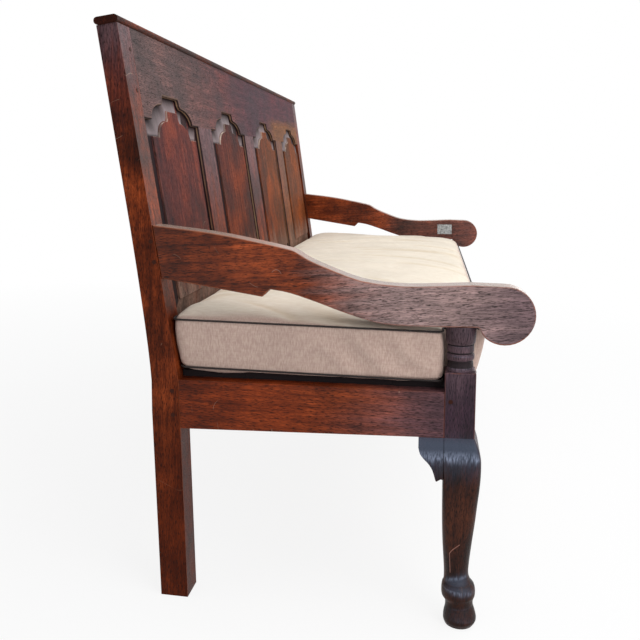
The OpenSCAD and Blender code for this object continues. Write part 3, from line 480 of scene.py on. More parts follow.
def lay_wear_and_painted_light(tree, shade, oak, rubbed, silver_from, top_sheen):
    """Lays a painted reflection on upper faces, painted shade with grime and a painted silver reflection
    in the recesses, and bare edges with painted highlights over a colour, by the piece's own marks.
    """
    c = tones()
    # Upper faces painted pale: a painted reflection of the bright room, used on the arms
    if top_sheen:
        level = add(tree, "ShaderNodeMapRange", {"Value": oak.facing["Z"], "From Min": 0.45, "From Max": 0.9,
                                                 "To Max": top_sheen}).outputs[0]
        shade = add(tree, "ShaderNodeMix", {0: level, 6: shade, 7: c.pale}, data_type="RGBA").outputs[2]
    # Recesses: painted shade with grime, and above silver_from a painted silver reflection where lit
    hollow = add(tree, "ShaderNodeAttribute", attribute_name="hollow").outputs["Fac"]
    dirt_and_shade = c.dirt_and_shade
    if silver_from:
        lit = add(tree, "ShaderNodeMapRange", {"Value": oak.at["Z"], "From Min": silver_from,
                                               "From Max": silver_from + SILVER_FADE}).outputs[0]
        deepest = add(tree, "ShaderNodeMapRange",
                      {"Value": hollow, "From Min": 0.6, "From Max": 1.0, "To Min": 1.0,
                       "To Max": 0.0}).outputs[0]
        lit = add(tree, "ShaderNodeMath", {0: lit, 1: deepest}, operation="MULTIPLY").outputs[0]
        dirt_and_shade = add(tree, "ShaderNodeMix", {0: lit, 6: dirt_and_shade, 7: c.silver}, data_type="RGBA").outputs[2]
        spotted = add(tree, "ShaderNodeMapRange", {"Value": oak.mottle, "From Min": 0.35, "From Max": 0.65,
                                                   "To Min": 0.6, "To Max": 1.35}).outputs[0]
        dirt_and_shade = add(tree, "ShaderNodeMix", {0: 0.6, 6: dirt_and_shade, 7: spotted}, data_type="RGBA",
                   blend_type="MULTIPLY").outputs[2]
    hollow = add(tree, "ShaderNodeMapRange", {"Value": hollow, "From Max": 0.6, "To Max": 0.9}).outputs[0]
    shade = add(tree, "ShaderNodeMix", {0: hollow, 6: shade, 7: dirt_and_shade}, data_type="RGBA").outputs[2]
    # Edges: bare wear, and painted highlights on the panels' steps and round the openings
    worn = add(tree, "ShaderNodeAttribute", attribute_name="worn").outputs["Fac"]
    chips = add(tree, "ShaderNodeValToRGB", {"Fac": oak.mottle},
                stops=[(0.40, 0.12), (0.60, 0.85)]).outputs[0]
    bare = add(tree, "ShaderNodeMath", {0: worn, 1: chips}, operation="MULTIPLY").outputs[0]
    return add(tree, "ShaderNodeMix", {0: bare, 6: shade, 7: rubbed or c.worn}, data_type="RGBA").outputs[2]


def lay_knocks(tree, shade, oak, scratched):
    """Lays a few pale knocks and scratches over a colour."""
    c = tones()
    # Knocks are 2 to 3 mm across
    knock = add(tree, "ShaderNodeTexVoronoi", {"Vector": oak.grain, "Scale": 1 / KNOCK_GAP})
    spot = add(tree, "ShaderNodeMapRange",
               {"Value": knock.outputs["Distance"], "From Min": 0.045, "From Max": 0.02,
                "To Max": 0.6}).outputs[0]
    few = add(tree, "ShaderNodeSeparateXYZ", {"Vector": knock.outputs["Color"]}).outputs["X"]
    few = add(tree, "ShaderNodeMath", {0: few, 1: 0.8}, operation="GREATER_THAN").outputs[0]
    spot = add(tree, "ShaderNodeMath", {0: spot, 1: few}, operation="MULTIPLY").outputs[0]
    shade = add(tree, "ShaderNodeMix", {0: spot, 6: shade, 7: c.knock}, data_type="RGBA").outputs[2]
    # Hairline scratches: short pieces of a slow pattern's contour lines
    slow = add(tree, "ShaderNodeTexNoise", {"Vector": oak.grain, "Scale": 1 / HAIRLINE_GAP, "Detail": 1.0,
                                            "Distortion": 0.6}).outputs[0]
    near = add(tree, "ShaderNodeMath", {0: slow, 1: 0.5, 2: 0.0009}, operation="COMPARE").outputs[0]
    part = add(tree, "ShaderNodeTexNoise",
               {"Vector": oak.grain, "Scale": 1 / HAIRLINE_L, "Detail": 0.0}).outputs[0]
    part = add(tree, "ShaderNodeMapRange",
               {"Value": part, "From Min": 0.62, "From Max": 0.68, "To Max": 0.35})
    near = add(tree, "ShaderNodeMath", {0: near, 1: part.outputs[0]}, operation="MULTIPLY").outputs[0]
    shade = add(tree, "ShaderNodeMix", {0: near, 6: shade, 7: c.knock}, data_type="RGBA").outputs[2]
    if scratched:
        for one, two in zip(SCRATCH, SCRATCH[1:]):
            line = on_line(tree, oak.place, one, two)
            shade = add(tree, "ShaderNodeMix", {0: line, 6: shade, 7: c.scratch}, data_type="RGBA").outputs[2]
    return shade


def waxed_oak(name, turn, seed, deep, body, light, tints=(), rough=0.4, shine=0.15, dust_and_sheen=False, rubbed=None,
              silver_from=None, side="all", top_sheen=0.0, scratched=False):
    """Riven oak under old wax. turn brings the grain, which runs along the pattern's Z, to the piece's own
    direction. Each tint is a colour laid over part of the piece: colour, direction, start, end, amount and
    the X from which it shows; many tints are painted sheen, reflections and highlights. side keeps the
    tints on the front or the outer faces, silver_from is the height above which the recesses take a painted
    silver reflection, and top_sheen is how pale the upper faces are painted, as a painted reflection."""
    material, tree = new_material(name)
    oak = oak_patterns(tree, turn, seed)
    figure = add(tree, "ShaderNodeMath", {0: oak.rings, 1: 0.55, 2: oak.patch},
                 operation="MULTIPLY_ADD").outputs[0]
    shade = add(tree, "ShaderNodeValToRGB", {"Fac": figure},
                stops=[(0.54, deep), (0.74, body), (0.98, light)])
    shade = lay_tints(tree, shade.outputs[0], oak, tints, side)
    shade = lay_grain(tree, shade, oak)
    if dust_and_sheen:
        shade = lay_dust_and_sheen(tree, shade, oak)
    shade = lay_wear_and_painted_light(tree, shade, oak, rubbed, silver_from, top_sheen)
    shade = lay_knocks(tree, shade, oak, scratched)
    gloss = add(tree, "ShaderNodeMapRange",
                {"Value": oak.patch, "From Min": 0.3, "From Max": 0.7, "To Min": rough - 0.05,
                 "To Max": rough + 0.07}).outputs[0]
    height = add(tree, "ShaderNodeMath", {0: oak.rings, 1: 0.5, 2: oak.pores},
                 operation="MULTIPLY_ADD").outputs[0]
    relief = add(tree, "ShaderNodeBump", {"Height": height, "Strength": 0.5, "Distance": 0.5 * MM}).outputs[0]
    shader = add(tree, "ShaderNodeBsdfPrincipled", {
        "Base Color": shade, "Roughness": gloss, "Normal": relief, "Specular IOR Level": shine})
    add(tree, "ShaderNodeOutputMaterial", {"Surface": shader.outputs[0]})
    return material


# Turns that bring the grain upright, up the raked back, along the settle and from front to back
UP = (0.0, 0.0, 0.0)
UP_BACK = (RAKE + LEAN, 0.0, 0.0)
ALONG = (0.0, math.pi / 2, 0.0)
DEEP = (math.pi / 2, 0.0, 0.0)
# Arms slope down to the front
DOWN_ARM = (math.pi / 2 + 0.1, 0.0, 0.0)


def finish(bm, name, material, nodes, smooth=38):
    """Makes the bmesh a finished piece that stands for CAD nodes."""
    for face in bm.faces:
        face.smooth = True
    for edge in bm.edges:
        if len(edge.link_faces) == 2:
            edge.smooth = edge.calc_face_angle(0) < math.radians(smooth)
    mesh = bpy.data.meshes.new(name)
    bm.to_mesh(mesh)
    bm.free()
    piece = bpy.data.objects.new(name, mesh)
    bpy.context.scene.collection.objects.link(piece)
    mesh.materials.append(material)
    weighted = piece.modifiers.new("Flat faces", "WEIGHTED_NORMAL")
    weighted.keep_sharp = True
    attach(piece, "root")
    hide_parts(*nodes)
    return piece


def mark(bm, faces, name="worn", amount=1.0):
    """Marks faces for the material: worn for rubbed edges and painted highlights, hollow for painted shade
    with grime.
    """
    layer = bm.loops.layers.float.get(name) or bm.loops.layers.float.new(name)
    for face in faces:
        for loop in face.loops:
            loop[layer] = amount


def round_edges(bm, chosen, width, segments, amount=1.0):
    """Rounds the sharp edges that chosen accepts, and marks them with worn."""
    sharp = [e for e in bm.edges if len(e.link_faces) == 2 and e.calc_face_angle(0) > SHARP
             and e.calc_length() > SHORT_EDGE and chosen(e)]
    if not sharp:
        raise RuntimeError("no edge to round")
    made = bmesh.ops.bevel(bm, geom=sharp, offset=width, offset_type="OFFSET", segments=segments, profile=0.5,
                           affect="EDGES", clamp_overlap=True, material=-1)
    mark(bm, made["faces"], "worn", amount)


def darken(bm, to_back, chosen):
    """Marks the faces that stand square to the back, where chosen accepts their middle, with painted shade
    and grime, but for a painted highlight line along the moulding."""
    for depth in LINE_W:
        bmesh.ops.bisect_plane(bm, geom=bm.verts[:] + bm.edges[:] + bm.faces[:],
                               plane_co=IN_BACK @ Vector((0, depth, 0)),
                               plane_no=IN_BACK.to_3x3() @ Vector((0, 1, 0)), dist=WELD)
    bm.normal_update()
    for face in bm.faces:
        at = to_back @ face.calc_center_median()
        if abs((to_back.to_3x3() @ face.normal).y) < 0.8 and chosen(at):
            if LINE_W[0] < at.y < LINE_W[1]:
                mark(bm, [face], "worn", LINE_HIGHLIGHT)
            else:
                mark(bm, [face], "worn", 0.0)
                mark(bm, [face], "hollow")


def joined_copy(node):
    """bmesh of a CAD node with its loose triangles merged into flat faces."""
    bm = bmesh.new()
    bm.from_mesh(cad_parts[node].data)
    bmesh.ops.remove_doubles(bm, verts=bm.verts, dist=WELD)
    bmesh.ops.dissolve_limit(bm, angle_limit=math.radians(0.4), verts=bm.verts, edges=bm.edges)
    return bm


def dress(words, material):
    """Gives a material to the CAD nodes whose names start or end with a word."""
    for name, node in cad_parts.items():
        if name.startswith(words) or name.endswith(words):
            node.data.materials.clear()
            node.data.materials.append(material)


def worn_copy(node, material, width, segments=2):
    """A CAD node's own shape with rubbed edges."""
    bm = joined_copy(node)
    round_edges(bm, lambda e: True, width, segments)
    return finish(bm, "worn_" + node, material, [node])


def outline_loop(bm, points):
    """Closed loop of edges through the points."""
    verts = [bm.verts.new(p) for p in points]
    return [bm.edges.new((a, b)) for a, b in zip(verts, verts[1:] + verts[:1])]


def loft(bm, loops):
    """Skins loops of equal length in order and closes both ends."""
    edges = [outline_loop(bm, points) for points in loops]
    for one, two in zip(edges, edges[1:]):
        bmesh.ops.bridge_loops(bm, edges=one + two)
    bmesh.ops.contextual_create(bm, geom=edges[0])
    bmesh.ops.contextual_create(bm, geom=edges[-1])
    bmesh.ops.recalc_face_normals(bm, faces=bm.faces)


def smoothed(rows, steps):
    """Smooth line through rows of numbers."""
    out = []
    for k in range(len(rows) - 1):
        a, b, c, d = (Vector(rows[max(0, min(len(rows) - 1, k + i))]) for i in (-1, 0, 1, 2))
        for i in range(steps):
            t = i / steps
            out.append((2 * b + (c - a) * t + (2 * a - 5 * b + 4 * c - d) * t ** 2
                        + (3 * b - a - 3 * c + d) * t ** 3) / 2)
    return out + [Vector(rows[-1])]


def arch(width, base, shoulders, rise, flat, shoulder, grow=0.0, facets=10):
    """Outline of an arched head over its sides, as X and V points, grown all round."""
    half, inner, top = width / 2 + grow, width / 2 - shoulder + grow, flat / 2 + grow
    low, high = shoulders + grow, shoulders + rise + grow
    mid, step = low + ARCH_BREAK * rise, ARCH_STEP * flat
    side = [(half, base - grow), (half, low), (inner, low)]
    for i in range(1, facets + 1):
        t = math.pi / 2 * i / facets
        side.append((top + step + (inner - top - step) * math.cos(t), low + (mid - low) * math.sin(t)))
    side += [(top + step / 3, mid + (high - mid) / 3), (top + step / 4, high - (high - mid) / 4), (top, high)]
    return side + [(-x, v) for x, v in reversed(side)]


def panel_x(i):
    """Middle of a panel along the settle."""
    return -HALF_L + POST_W + OPENING_W / 2 + i * PITCH


class SETTLE_OT_posts(bpy.types.Operator):
    """Rear posts with rubbed arrises"""
    bl_idname = "settle.posts"
    bl_label = "Rear posts"

    def execute(self, context):
        c = tones()
        # Painted sheen with wax haze at the posts' tops, and redder oak near the floor
        tints = [(c.violet_bloom_and_sheen, (0, 0, 1), 0.85, 1.05, 0.35), (c.bloom_and_sheen, (0, -0.4, 1), 0.82, 0.98, 0.9),
                 (c.oak_low, (0, 0, -1), -0.50, -0.15, 0.8)]
        oak = waxed_oak("waxed oak, posts", UP, 1.3, c.oak_deep, c.oak_red, c.oak_light, tints, rough=0.42,
                        shine=0.08)
        for node in ("rear_post_left", "rear_post_right"):
            worn_copy(node, oak, sizes().arris)
        return {"FINISHED"}


class SETTLE_OT_back(bpy.types.Operator):
    """Rails, muntins and cap of the back, with an ovolo round each opening"""
    bl_idname = "settle.back"
    bl_label = "Back frame"

    def execute(self, context):
        c, s = tones(), sizes()
        deep, red, light = c.oak_deep, c.oak_red, c.oak_light
        # Painted sheen with wax haze on the top rail, and a painted warm reflection low at the far end
        tints = [(c.smoke_and_sheen, (1, 0, 0), 0.3, -0.8, 0.85), (c.violet_bloom_and_sheen, (1, 0, 0), -0.75, 0.15, 0.8),
                 (c.warm_reflection, (0, 0, -1), -1.0, -0.96, 0.85, 0.27)]
        # The mouldings' edge colour is a painted highlight line round the openings
        rail = waxed_oak("waxed oak, back rails", ALONG, 4.1, deep, red, light, tints, rough=0.62, shine=0.08,
                         rubbed=c.moulding, side="front")
        # Painted sheen with wax haze high up, a painted warm reflection at the far end, paler wax low down
        tints = [(c.bloom_and_sheen, (0, 0, 1), 0.62, 0.92, 0.85), (c.warm_reflection, (1, 0, 0), 0.0, 0.6, 0.6),
                 (c.glow, (0, 0, -1), -0.66, -0.54, 0.6)]
        # Their mouldings' edge colour is a painted highlight line round the openings
        upright = waxed_oak("waxed oak, muntins", UP_BACK, 7.7, deep, red, light, tints, rough=0.6,
                            shine=0.08, rubbed=c.moulding, side="front")
        to_back = IN_BACK.inverted()

        def in_front(edge):
            """Whether an edge lies in the back's front plane."""
            return all(abs((to_back @ v.co).y) < 0.2 * MM for v in edge.verts)

        bm = joined_copy("top_rail")
        sides = [panel_x(i) + k * OPENING_W / 2 for i in range(PANELS) for k in (-1, 1)]
        for x in sides:
            bmesh.ops.bisect_plane(bm, geom=bm.verts[:] + bm.edges[:] + bm.faces[:], plane_co=(x, 0, 0),
                                   plane_no=(1, 0, 0), dist=WELD)

        def of_opening(edge):
            """Whether an edge of the top rail's front goes round an opening."""
            middle = to_back @ ((edge.verts[0].co + edge.verts[1].co) / 2)
            inside = any(abs(middle.x - panel_x(i)) < OPENING_W / 2 + 0.2 * MM for i in range(PANELS))
            return in_front(edge) and inside and middle.z < TOP_V + ARCH_RISE + MM

        round_edges(bm, of_opening, s.ovolo * 0.7, 3, 0.35)
        darken(bm, to_back, lambda at: at.z < TOP_V + ARCH_RISE + MM and at.y < GROOVE_W)
        finish(bm, "worn_top_rail", rail, ["top_rail"])
        for i in range(PANELS - 1):
            node = f"muntin_{i + 1}"
            bm = joined_copy(node)
            round_edges(bm, lambda e: in_front(e) and e.calc_length() > 0.2, s.ovolo * 0.7, 3, 0.35)
            darken(bm, to_back, lambda at: at.y < GROOVE_W)
            finish(bm, "worn_" + node, upright, [node])
        worn_copy("bottom_rail", rail, s.joint)
        cap = waxed_oak("waxed oak, cap", ALONG, 5.9, deep, deep, red, rough=0.5, shine=0.06)
        finish(joined_copy("cap_moulding"), "worn_cap", cap, ["cap_moulding"])
        return {"FINISHED"}


class SETTLE_OT_panels(bpy.types.Operator):
    """Raised and fielded panels with arched heads"""
    bl_idname = "settle.panels"
    bl_label = "Panels"

    def execute(self, context):
        c, s = tones(), sizes()
        # Painted sheen with wax haze at the heads, a painted warm reflection at the far end, paler wax low
        # down
        tints = [(c.violet_bloom_and_sheen, (-0.4, 0, 1), 0.72, 1.1, 0.4), (c.warm_reflection, (1, 0, 0.3), 0.15, 0.6, 0.34),
                 (c.oak_deep, (-1, 0, 0), 0.02, 0.08, 0.35, -0.52), (c.glow, (0, 0, -1), -0.66, -0.54, 0.65)]
        # Field edges take the pale colour as a painted highlight, recesses a painted silver reflection up
        # high
        oak = waxed_oak("waxed oak, panels", UP_BACK, 11.9, c.oak_deep, c.oak_red, c.oak_light, tints,
                        rough=0.62, shine=0.05, rubbed=c.pale, silver_from=SILVER_Z, side="front")
        opening = (OPENING_W, FIELD_V, TOP_V, ARCH_RISE, ARCH_TOP, SHOULDER)
        field = (OPENING_W - 2 * BEVEL_W, FIELD_V + BEVEL_W, TOP_V - FIELD_DROP, FIELD_RISE, FIELD_TOP,
                 FIELD_SHOULDER)
        front = PANEL_FRONT
        levels = [(opening, TONGUE_IN, GROOVE_W + TONGUE_T), (opening, TONGUE_IN, GROOVE_W),
                  (opening, -MM, GROOVE_W), (field, 1.2 * MM, front + s.step + 0.4 * MM),
                  (field, 0.0, front + s.step), (field, -0.2 * MM, front + 0.5 * MM),
                  (field, -0.8 * MM, front)]
        for i in range(PANELS):
            bm = bmesh.new()
            loft(bm, [[(x, w, v) for x, v in arch(*shape, grow=grow)] for shape, grow, w in levels])
            bm.normal_update()
            # Painted shade with grime lies in the bevel, paler on the side that the light reaches, and the
            # field's step takes a painted highlight where it faces the light
            for face in [f for f in bm.faces if len(f.verts) == 4]:
                depths = [v.co.y for v in face.verts]
                lit = HIGHLIGHT_WAY[0] * face.normal.x + HIGHLIGHT_WAY[1] * face.normal.z
                if max(depths) > front + s.step + MM:
                    at = face.calc_center_median()
                    if at.z > FIELD_V + BEVEL_W and (face.normal.x < 0.1 or at.z < TOP_V - BEVEL_W):
                        mark(bm, [face], "hollow", 1.0)
                        for loop in face.loops:
                            if loop.vert.co.y < GROOVE_W - MM:
                                loop[bm.loops.layers.float["hollow"]] = 0.6 if face.normal.x < 0.03 else 1.0
                elif lit > 0.3:
                    mark(bm, [face], "worn", 1.0 if lit > 0.65 or face.normal.z > 0.3 else 0.1)
            bmesh.ops.transform(bm, matrix=IN_BACK @ Matrix.Translation((panel_x(i), 0, 0)), verts=bm.verts)
            finish(bm, f"fielded_panel_{i + 1}", oak, [f"panel_{i + 1}"], smooth=25)
        return {"FINISHED"}


# Cabriole leg: height, knee, hoof, inward and roundness shares, as the frame has them
LEG_SHARES = [
    (-0.010, -0.06, 0, 0.06, 0.00), (0.000, 0.00, 0, 0.00, 0.02), (0.030, 0.36, 0, 0.00, 0.12),
    (0.065, 0.72, 0, 0.00, 0.20), (0.105, 0.95, 0, 0.00, 0.26), (0.150, 1.00, 0, 0.00, 0.30),
    (0.205, 0.98, 0, 0.00, 0.34), (0.270, 0.87, 0, 0.00, 0.40), (0.340, 0.70, 0, 0.02, 0.50),
    (0.440, 0.47, 0, 0.06, 0.62), (0.550, 0.16, 0, 0.20, 0.76), (0.670, -0.16, 0, 0.50, 0.90),
    (0.735, -0.24, 0, 0.62, 1.00), (0.770, 0.00, 0.10, 0.55, 1.00), (0.782, 0.00, 0.44, 0.34, 1.00),
    (0.795, 0.00, 0.66, 0.22, 1.00), (0.820, 0.00, 0.78, 0.18, 1.00), (0.845, 0.00, 0.76, 0.24, 1.00),
    (0.858, 0.00, 0.62, 0.50, 1.00), (0.872, 0.00, 0.50, 0.88, 1.00), (0.896, 0.00, 0.50, 0.95, 1.00),
    (0.915, 0.00, 0.68, 0.86, 1.00), (0.940, 0.00, 0.88, 0.66, 1.00), (0.965, 0.00, 1.00, 0.60, 1.00),
    (0.985, 0.00, 0.86, 0.72, 1.00), (1.020, 0.00, 0.20, 1.32, 1.00)]
LEG_H = RAIL_BOTTOM + FRONT_DROP
# Turned part under the arm: shares of its height, and of the way from the neck's radius to the cup's
TURNING_SHARES = [(0, 0.67), (0.020, 0.67), (0.030, 0.31), (0.052, 0.03), (0.086, -0.17), (0.132, -0.29),
                  (0.190, -0.33), (0.200, -0.67), (0.240, -0.67), (0.247, -0.28), (0.262, 0.04),
                  (0.287, 0.26), (0.320, 0.33), (0.353, 0.26), (0.378, 0.04), (0.393, -0.28), (0.400, -0.60),
                  (0.422, -0.60), (0.430, -0.1), (0.445, 0), (0.560, 0), (0.575, -0.1), (0.583, -0.60),
                  (0.600, -0.60), (0.605, 0.17), (0.621, 0.42), (0.648, 0.64), (0.687, 0.80), (0.738, 0.92),
                  (0.800, 1), (1, 1)]


def leg_ring(row, corners=7):
    """One ring of the leg, in the corner frame of the left leg."""
    height, knee, hoof, inward, roundness = row
    out = knee * KNEE_OUT + hoof * HOOF_OUT
    low, high = -out, LEG_W - inward * ANKLE_IN
    half, middle = (high - low) / 2, (high + low) / 2
    # The inner corners stay square for longer than the outer one
    inner_r = LEG_EDGE_R + (half - LEG_EDGE_R) * max(0, min(1, (roundness - 0.3) / 0.7))
    outer_r = LEG_EDGE_R + (half - LEG_EDGE_R) * min(1, roundness * 1.1)
    points = []
    for sx, sy, start, r in ((1, 1, 0, inner_r), (-1, 1, 90, inner_r), (-1, -1, 180, outer_r),
                             (1, -1, 270, inner_r)):
        r = min(r, half * 0.999)
        for i in range(corners + 1):
            a = math.radians(start + 90 * i / corners)
            points.append((middle + sx * (half - r) + r * math.cos(a),
                           middle + sy * (half - r) + r * math.sin(a), RAIL_BOTTOM - height * LEG_H))
    return points


class SETTLE_OT_legs(bpy.types.Operator):
    """Cabriole front legs with their blocks, turned necks and hoof feet"""
    bl_idname = "settle.legs"
    bl_label = "Front legs"

    def execute(self, context):
        c, s = tones(), sizes()
        # Painted sheen with wax haze on blocks and turnings; slate dusting and painted sky reflection below
        tints = [(c.violet_bloom_and_sheen, (0, 0, 1), 0.28, 0.40, 0.75), (c.bloom_and_sheen, (0, 0, 1), 0.40, 0.54, 0.65)]
        oak = waxed_oak("waxed dark oak, legs", UP, 17.3, c.dark_deep, c.dark_red, c.dark_light, tints,
                        rough=0.36, shine=0.12, dust_and_sheen=True, scratched=True)
        for node, end in (("front_leg_left", LEFT), ("front_leg_right", RIGHT)):
            bm = bmesh.new()
            loft(bm, [leg_ring(row) for row in smoothed(LEG_SHARES, 4)])
            bmesh.ops.translate(bm, vec=(0, LEG_FRONT, 0), verts=bm.verts)
            shaft = set(bm.verts)
            middle = Matrix.Translation((LEG_W / 2, LEG_MID, (BLOCK_TOP + RAIL_BOTTOM) / 2))
            size = Matrix.Diagonal((LEG_W, LEG_W, BLOCK_TOP - RAIL_BOTTOM, 1))
            bmesh.ops.create_cube(bm, size=1, matrix=middle @ size)
            block = [e for e in bm.edges if e.verts[0] not in shaft
                     and (e.verts[0].co.z + e.verts[1].co.z) / 2 > RAIL_BOTTOM + MM]
            made = bmesh.ops.bevel(bm, geom=block, offset=s.arris * 1.2, offset_type="OFFSET", segments=3,
                                   profile=0.5, affect="EDGES", clamp_overlap=True, material=-1)
            mark(bm, made["faces"], "worn", 0.5)
            # Turned part under the arm
            profile = [(share * (ARM_REST - BLOCK_TOP) + BLOCK_TOP, NECK_R + r * (CUP_R - NECK_R))
                       for share, r in TURNING_SHARES]
            line = [bm.verts.new((LEG_W / 2, LEG_MID, profile[0][0]))]
            line += [bm.verts.new((LEG_W / 2 + r, LEG_MID, z)) for z, r in profile]
            line += [bm.verts.new((LEG_W / 2, LEG_MID, profile[-1][0]))]
            edges = [bm.edges.new(pair) for pair in zip(line, line[1:])]
            bmesh.ops.spin(bm, geom=line + edges, cent=(LEG_W / 2, LEG_MID, 0), axis=(0, 0, 1),
                           angle=2 * math.pi, steps=48, use_merge=True)
            bmesh.ops.remove_doubles(bm, verts=[v for v in bm.verts if v.co.z > BLOCK_TOP - MM], dist=WELD)
            # Grooves of the turning are marked for painted shade with grime
            for face in bm.faces:
                at = face.calc_center_median()
                if at.z > BLOCK_TOP + MM and math.hypot(at.x - LEG_W / 2, at.y - LEG_MID) < NECK_R - 0.7 * MM:
                    mark(bm, [face], "hollow", 0.7)
            bmesh.ops.transform(bm, matrix=end, verts=bm.verts)
            # Soles are cut level with the floor
            cut = bmesh.ops.bisect_plane(bm, geom=bm.verts[:] + bm.edges[:] + bm.faces[:], plane_co=(0, 0, 0),
                                         plane_no=(0, 0, -1), clear_outer=True)
            rim = [e for e in cut["geom_cut"] if isinstance(e, bmesh.types.BMEdge)]
            bmesh.ops.contextual_create(bm, geom=rim)
            bmesh.ops.recalc_face_normals(bm, faces=bm.faces)
            finish(bm, "shaped_" + node, oak, [node], smooth=42)
        return {"FINISHED"}


# Outline of a knee bracket: shares of its length and height
BRACKET_SHARES = [(0, 0), (1, 0), (1, 0.22), (0.97, 0.29), (0.93, 0.36), (0.84, 0.43), (0.74, 0.49),
                  (0.65, 0.54), (0.56, 0.6), (0.48, 0.67), (0.42, 0.74), (0.36, 0.85), (0.31, 0.96),
                  (0.27, 1), (0.1, 0.94), (0, 0.95)]


class SETTLE_OT_brackets(bpy.types.Operator):
    """Knee brackets that carry the knee's swell along the rails"""
    bl_idname = "settle.brackets"
    bl_label = "Knee brackets"

    def execute(self, context):
        oak = bpy.data.materials["waxed dark oak, legs"]
        rows = smoothed(LEG_SHARES, 4)

        def swell(drop):
            """How far the knee stands out at a drop below the rail."""
            share = drop / LEG_H
            for one, two in zip(rows, rows[1:]):
                if one[0] <= share <= two[0]:
                    return KNEE_OUT * (one[1] + (two[1] - one[1]) * (share - one[0]) / (two[0] - one[0]))
            return 0.0

        swap = Matrix(((0, 1, 0, 0), (1, 0, 0, 0), (0, 0, 1, 0), (0, 0, 0, 1)))
        corner = Matrix.Translation((0, LEG_FRONT, 0))
        for kind, turn in (("side", Matrix.Identity(4)), ("front", swap)):
            for side, end in (("left", LEFT), ("right", RIGHT)):
                bm = bmesh.new()
                loop = outline_loop(bm, [(BRACKET_T, LEG_W + y * BRACKET_L, RAIL_BOTTOM - z * BRACKET_H)
                                         for y, z in BRACKET_SHARES])
                face = bmesh.ops.contextual_create(bm, geom=loop)["faces"]
                made = bmesh.ops.extrude_face_region(bm, geom=face)["geom"]
                moved = [v for v in made if isinstance(v, bmesh.types.BMVert)]
                bmesh.ops.translate(bm, vec=(-BRACKET_T, 0, 0), verts=moved)
                for i in range(1, BRACKET_CUTS):
                    level = RAIL_BOTTOM - BRACKET_H * i / BRACKET_CUTS
                    bmesh.ops.bisect_plane(bm, geom=bm.verts[:] + bm.edges[:] + bm.faces[:],
                                           plane_co=(0, 0, level), plane_no=(0, 0, 1), dist=WELD)
                for vert in bm.verts:
                    if vert.co.x < 0.1 * MM:
                        vert.co.x = -swell(RAIL_BOTTOM - vert.co.z)
                bmesh.ops.transform(bm, matrix=end @ corner @ turn, verts=bm.verts)
                bmesh.ops.recalc_face_normals(bm, faces=bm.faces)
                node = f"{kind}_bracket_{side}"
                finish(bm, "shaped_" + node, oak, [node])
        return {"FINISHED"}


class SETTLE_OT_seat(bpy.types.Operator):
    """Seat rails, bearers and boards"""
    bl_idname = "settle.seat"
    bl_label = "Seat frame"

    def execute(self, context):
        c, s = tones(), sizes()
        deep, red, light = c.oak_deep, c.oak_red, c.oak_light
        # A painted orange highlight towards the rear, painted sheen with wax haze towards the front
        tints = [(c.orange_highlight, (0, 1, 0), -0.15, 0.10, 0.6), (c.bloom_and_sheen, (0, -1, 0), 0.02, 0.30, 0.75),
                 (c.violet_bloom_and_sheen, (0, -1, 0), 0.12, 0.30, 0.55)]
        side = waxed_oak("waxed oak, side rails", DEEP, 23.1, deep, red, light, tints)
        # Wax haze with painted sheen on the rails' upper part
        tints = [(c.bloom_and_sheen, (0, 0, 1), 0.30, 0.55, 0.5)]
        along = waxed_oak("waxed oak, long rails", ALONG, 29.9, deep, red, light, tints)
        for node in ("side_rail_left", "side_rail_right"):
            worn_copy(node, side, s.arris)
        for node in ("front_rail", "back_seat_rail"):
            worn_copy(node, along, s.arris)
        # Bare pine: sawn, never waxed, so it stays pale and dull
        pine, tree = new_material("sawn pine, seat boards")
        place = add(tree, "ShaderNodeTexCoord").outputs["Object"]
        along = add(tree, "ShaderNodeMapping", {"Vector": place, "Scale": (0.06, 1, 1)}).outputs[0]
        rings = add(tree, "ShaderNodeTexNoise",
                    {"Vector": along, "Scale": 1 / PINE_GAP, "Detail": 4.0}).outputs[0]
        body = add(tree, "ShaderNodeValToRGB", {"Fac": rings}, stops=[
            (0.3, tuple(0.55 * a for a in c.pine)), (0.65, c.pine)]).outputs[0]
        # The boards' ends are nearly black: grime with painted shade under the cushion's overhang
        reach = add(tree, "ShaderNodeSeparateXYZ", {"Vector": place}).outputs["X"]
        reach = add(tree, "ShaderNodeMath", {0: reach}, operation="ABSOLUTE").outputs[0]
        reach = add(tree, "ShaderNodeMapRange",
                    {"Value": reach, "From Min": 0.80, "From Max": 0.88}).outputs[0]
        body = add(tree, "ShaderNodeMix", {0: reach, 6: body, 7: c.dirt_and_shade}, data_type="RGBA").outputs[2]
        relief = add(tree, "ShaderNodeBump",
                     {"Height": rings, "Strength": 0.5, "Distance": 0.5 * MM}).outputs[0]
        shader = add(tree, "ShaderNodeBsdfPrincipled",
                     {"Base Color": body, "Roughness": 0.8, "Normal": relief, "Specular IOR Level": 0.2})
        add(tree, "ShaderNodeOutputMaterial", {"Surface": shader.outputs[0]})
        dress(("seat_board", "seat_bearer"), pine)
        return {"FINISHED"}


class SETTLE_OT_arms(bpy.types.Operator):
    """Shaped arms with handled edges"""
    bl_idname = "settle.arms"
    bl_label = "Arms"

    def execute(self, context):
        c, s = tones(), sizes()
        # Painted reflection at the arms' front, painted sheen with wax haze at their ends, on outer faces
        # only
        tints = [(c.sheen, (0, -1, 0), -0.03, 0.15, 0.85), (c.bloom_and_sheen, (0, -1, 0), 0.22, 0.38, 0.85)]
        # top_sheen paints a pale reflection on the arms' upper faces
        oak = waxed_oak("waxed oak, arms", DOWN_ARM, 41.3, c.oak_deep, c.oak_red, c.oak_light, tints,
                        rough=0.2, shine=0.2, side="outer", top_sheen=0.4)
        for node in ("arm_left", "arm_right"):
            worn_copy(node, oak, s.arm_edge, 4)
        return {"FINISHED"}


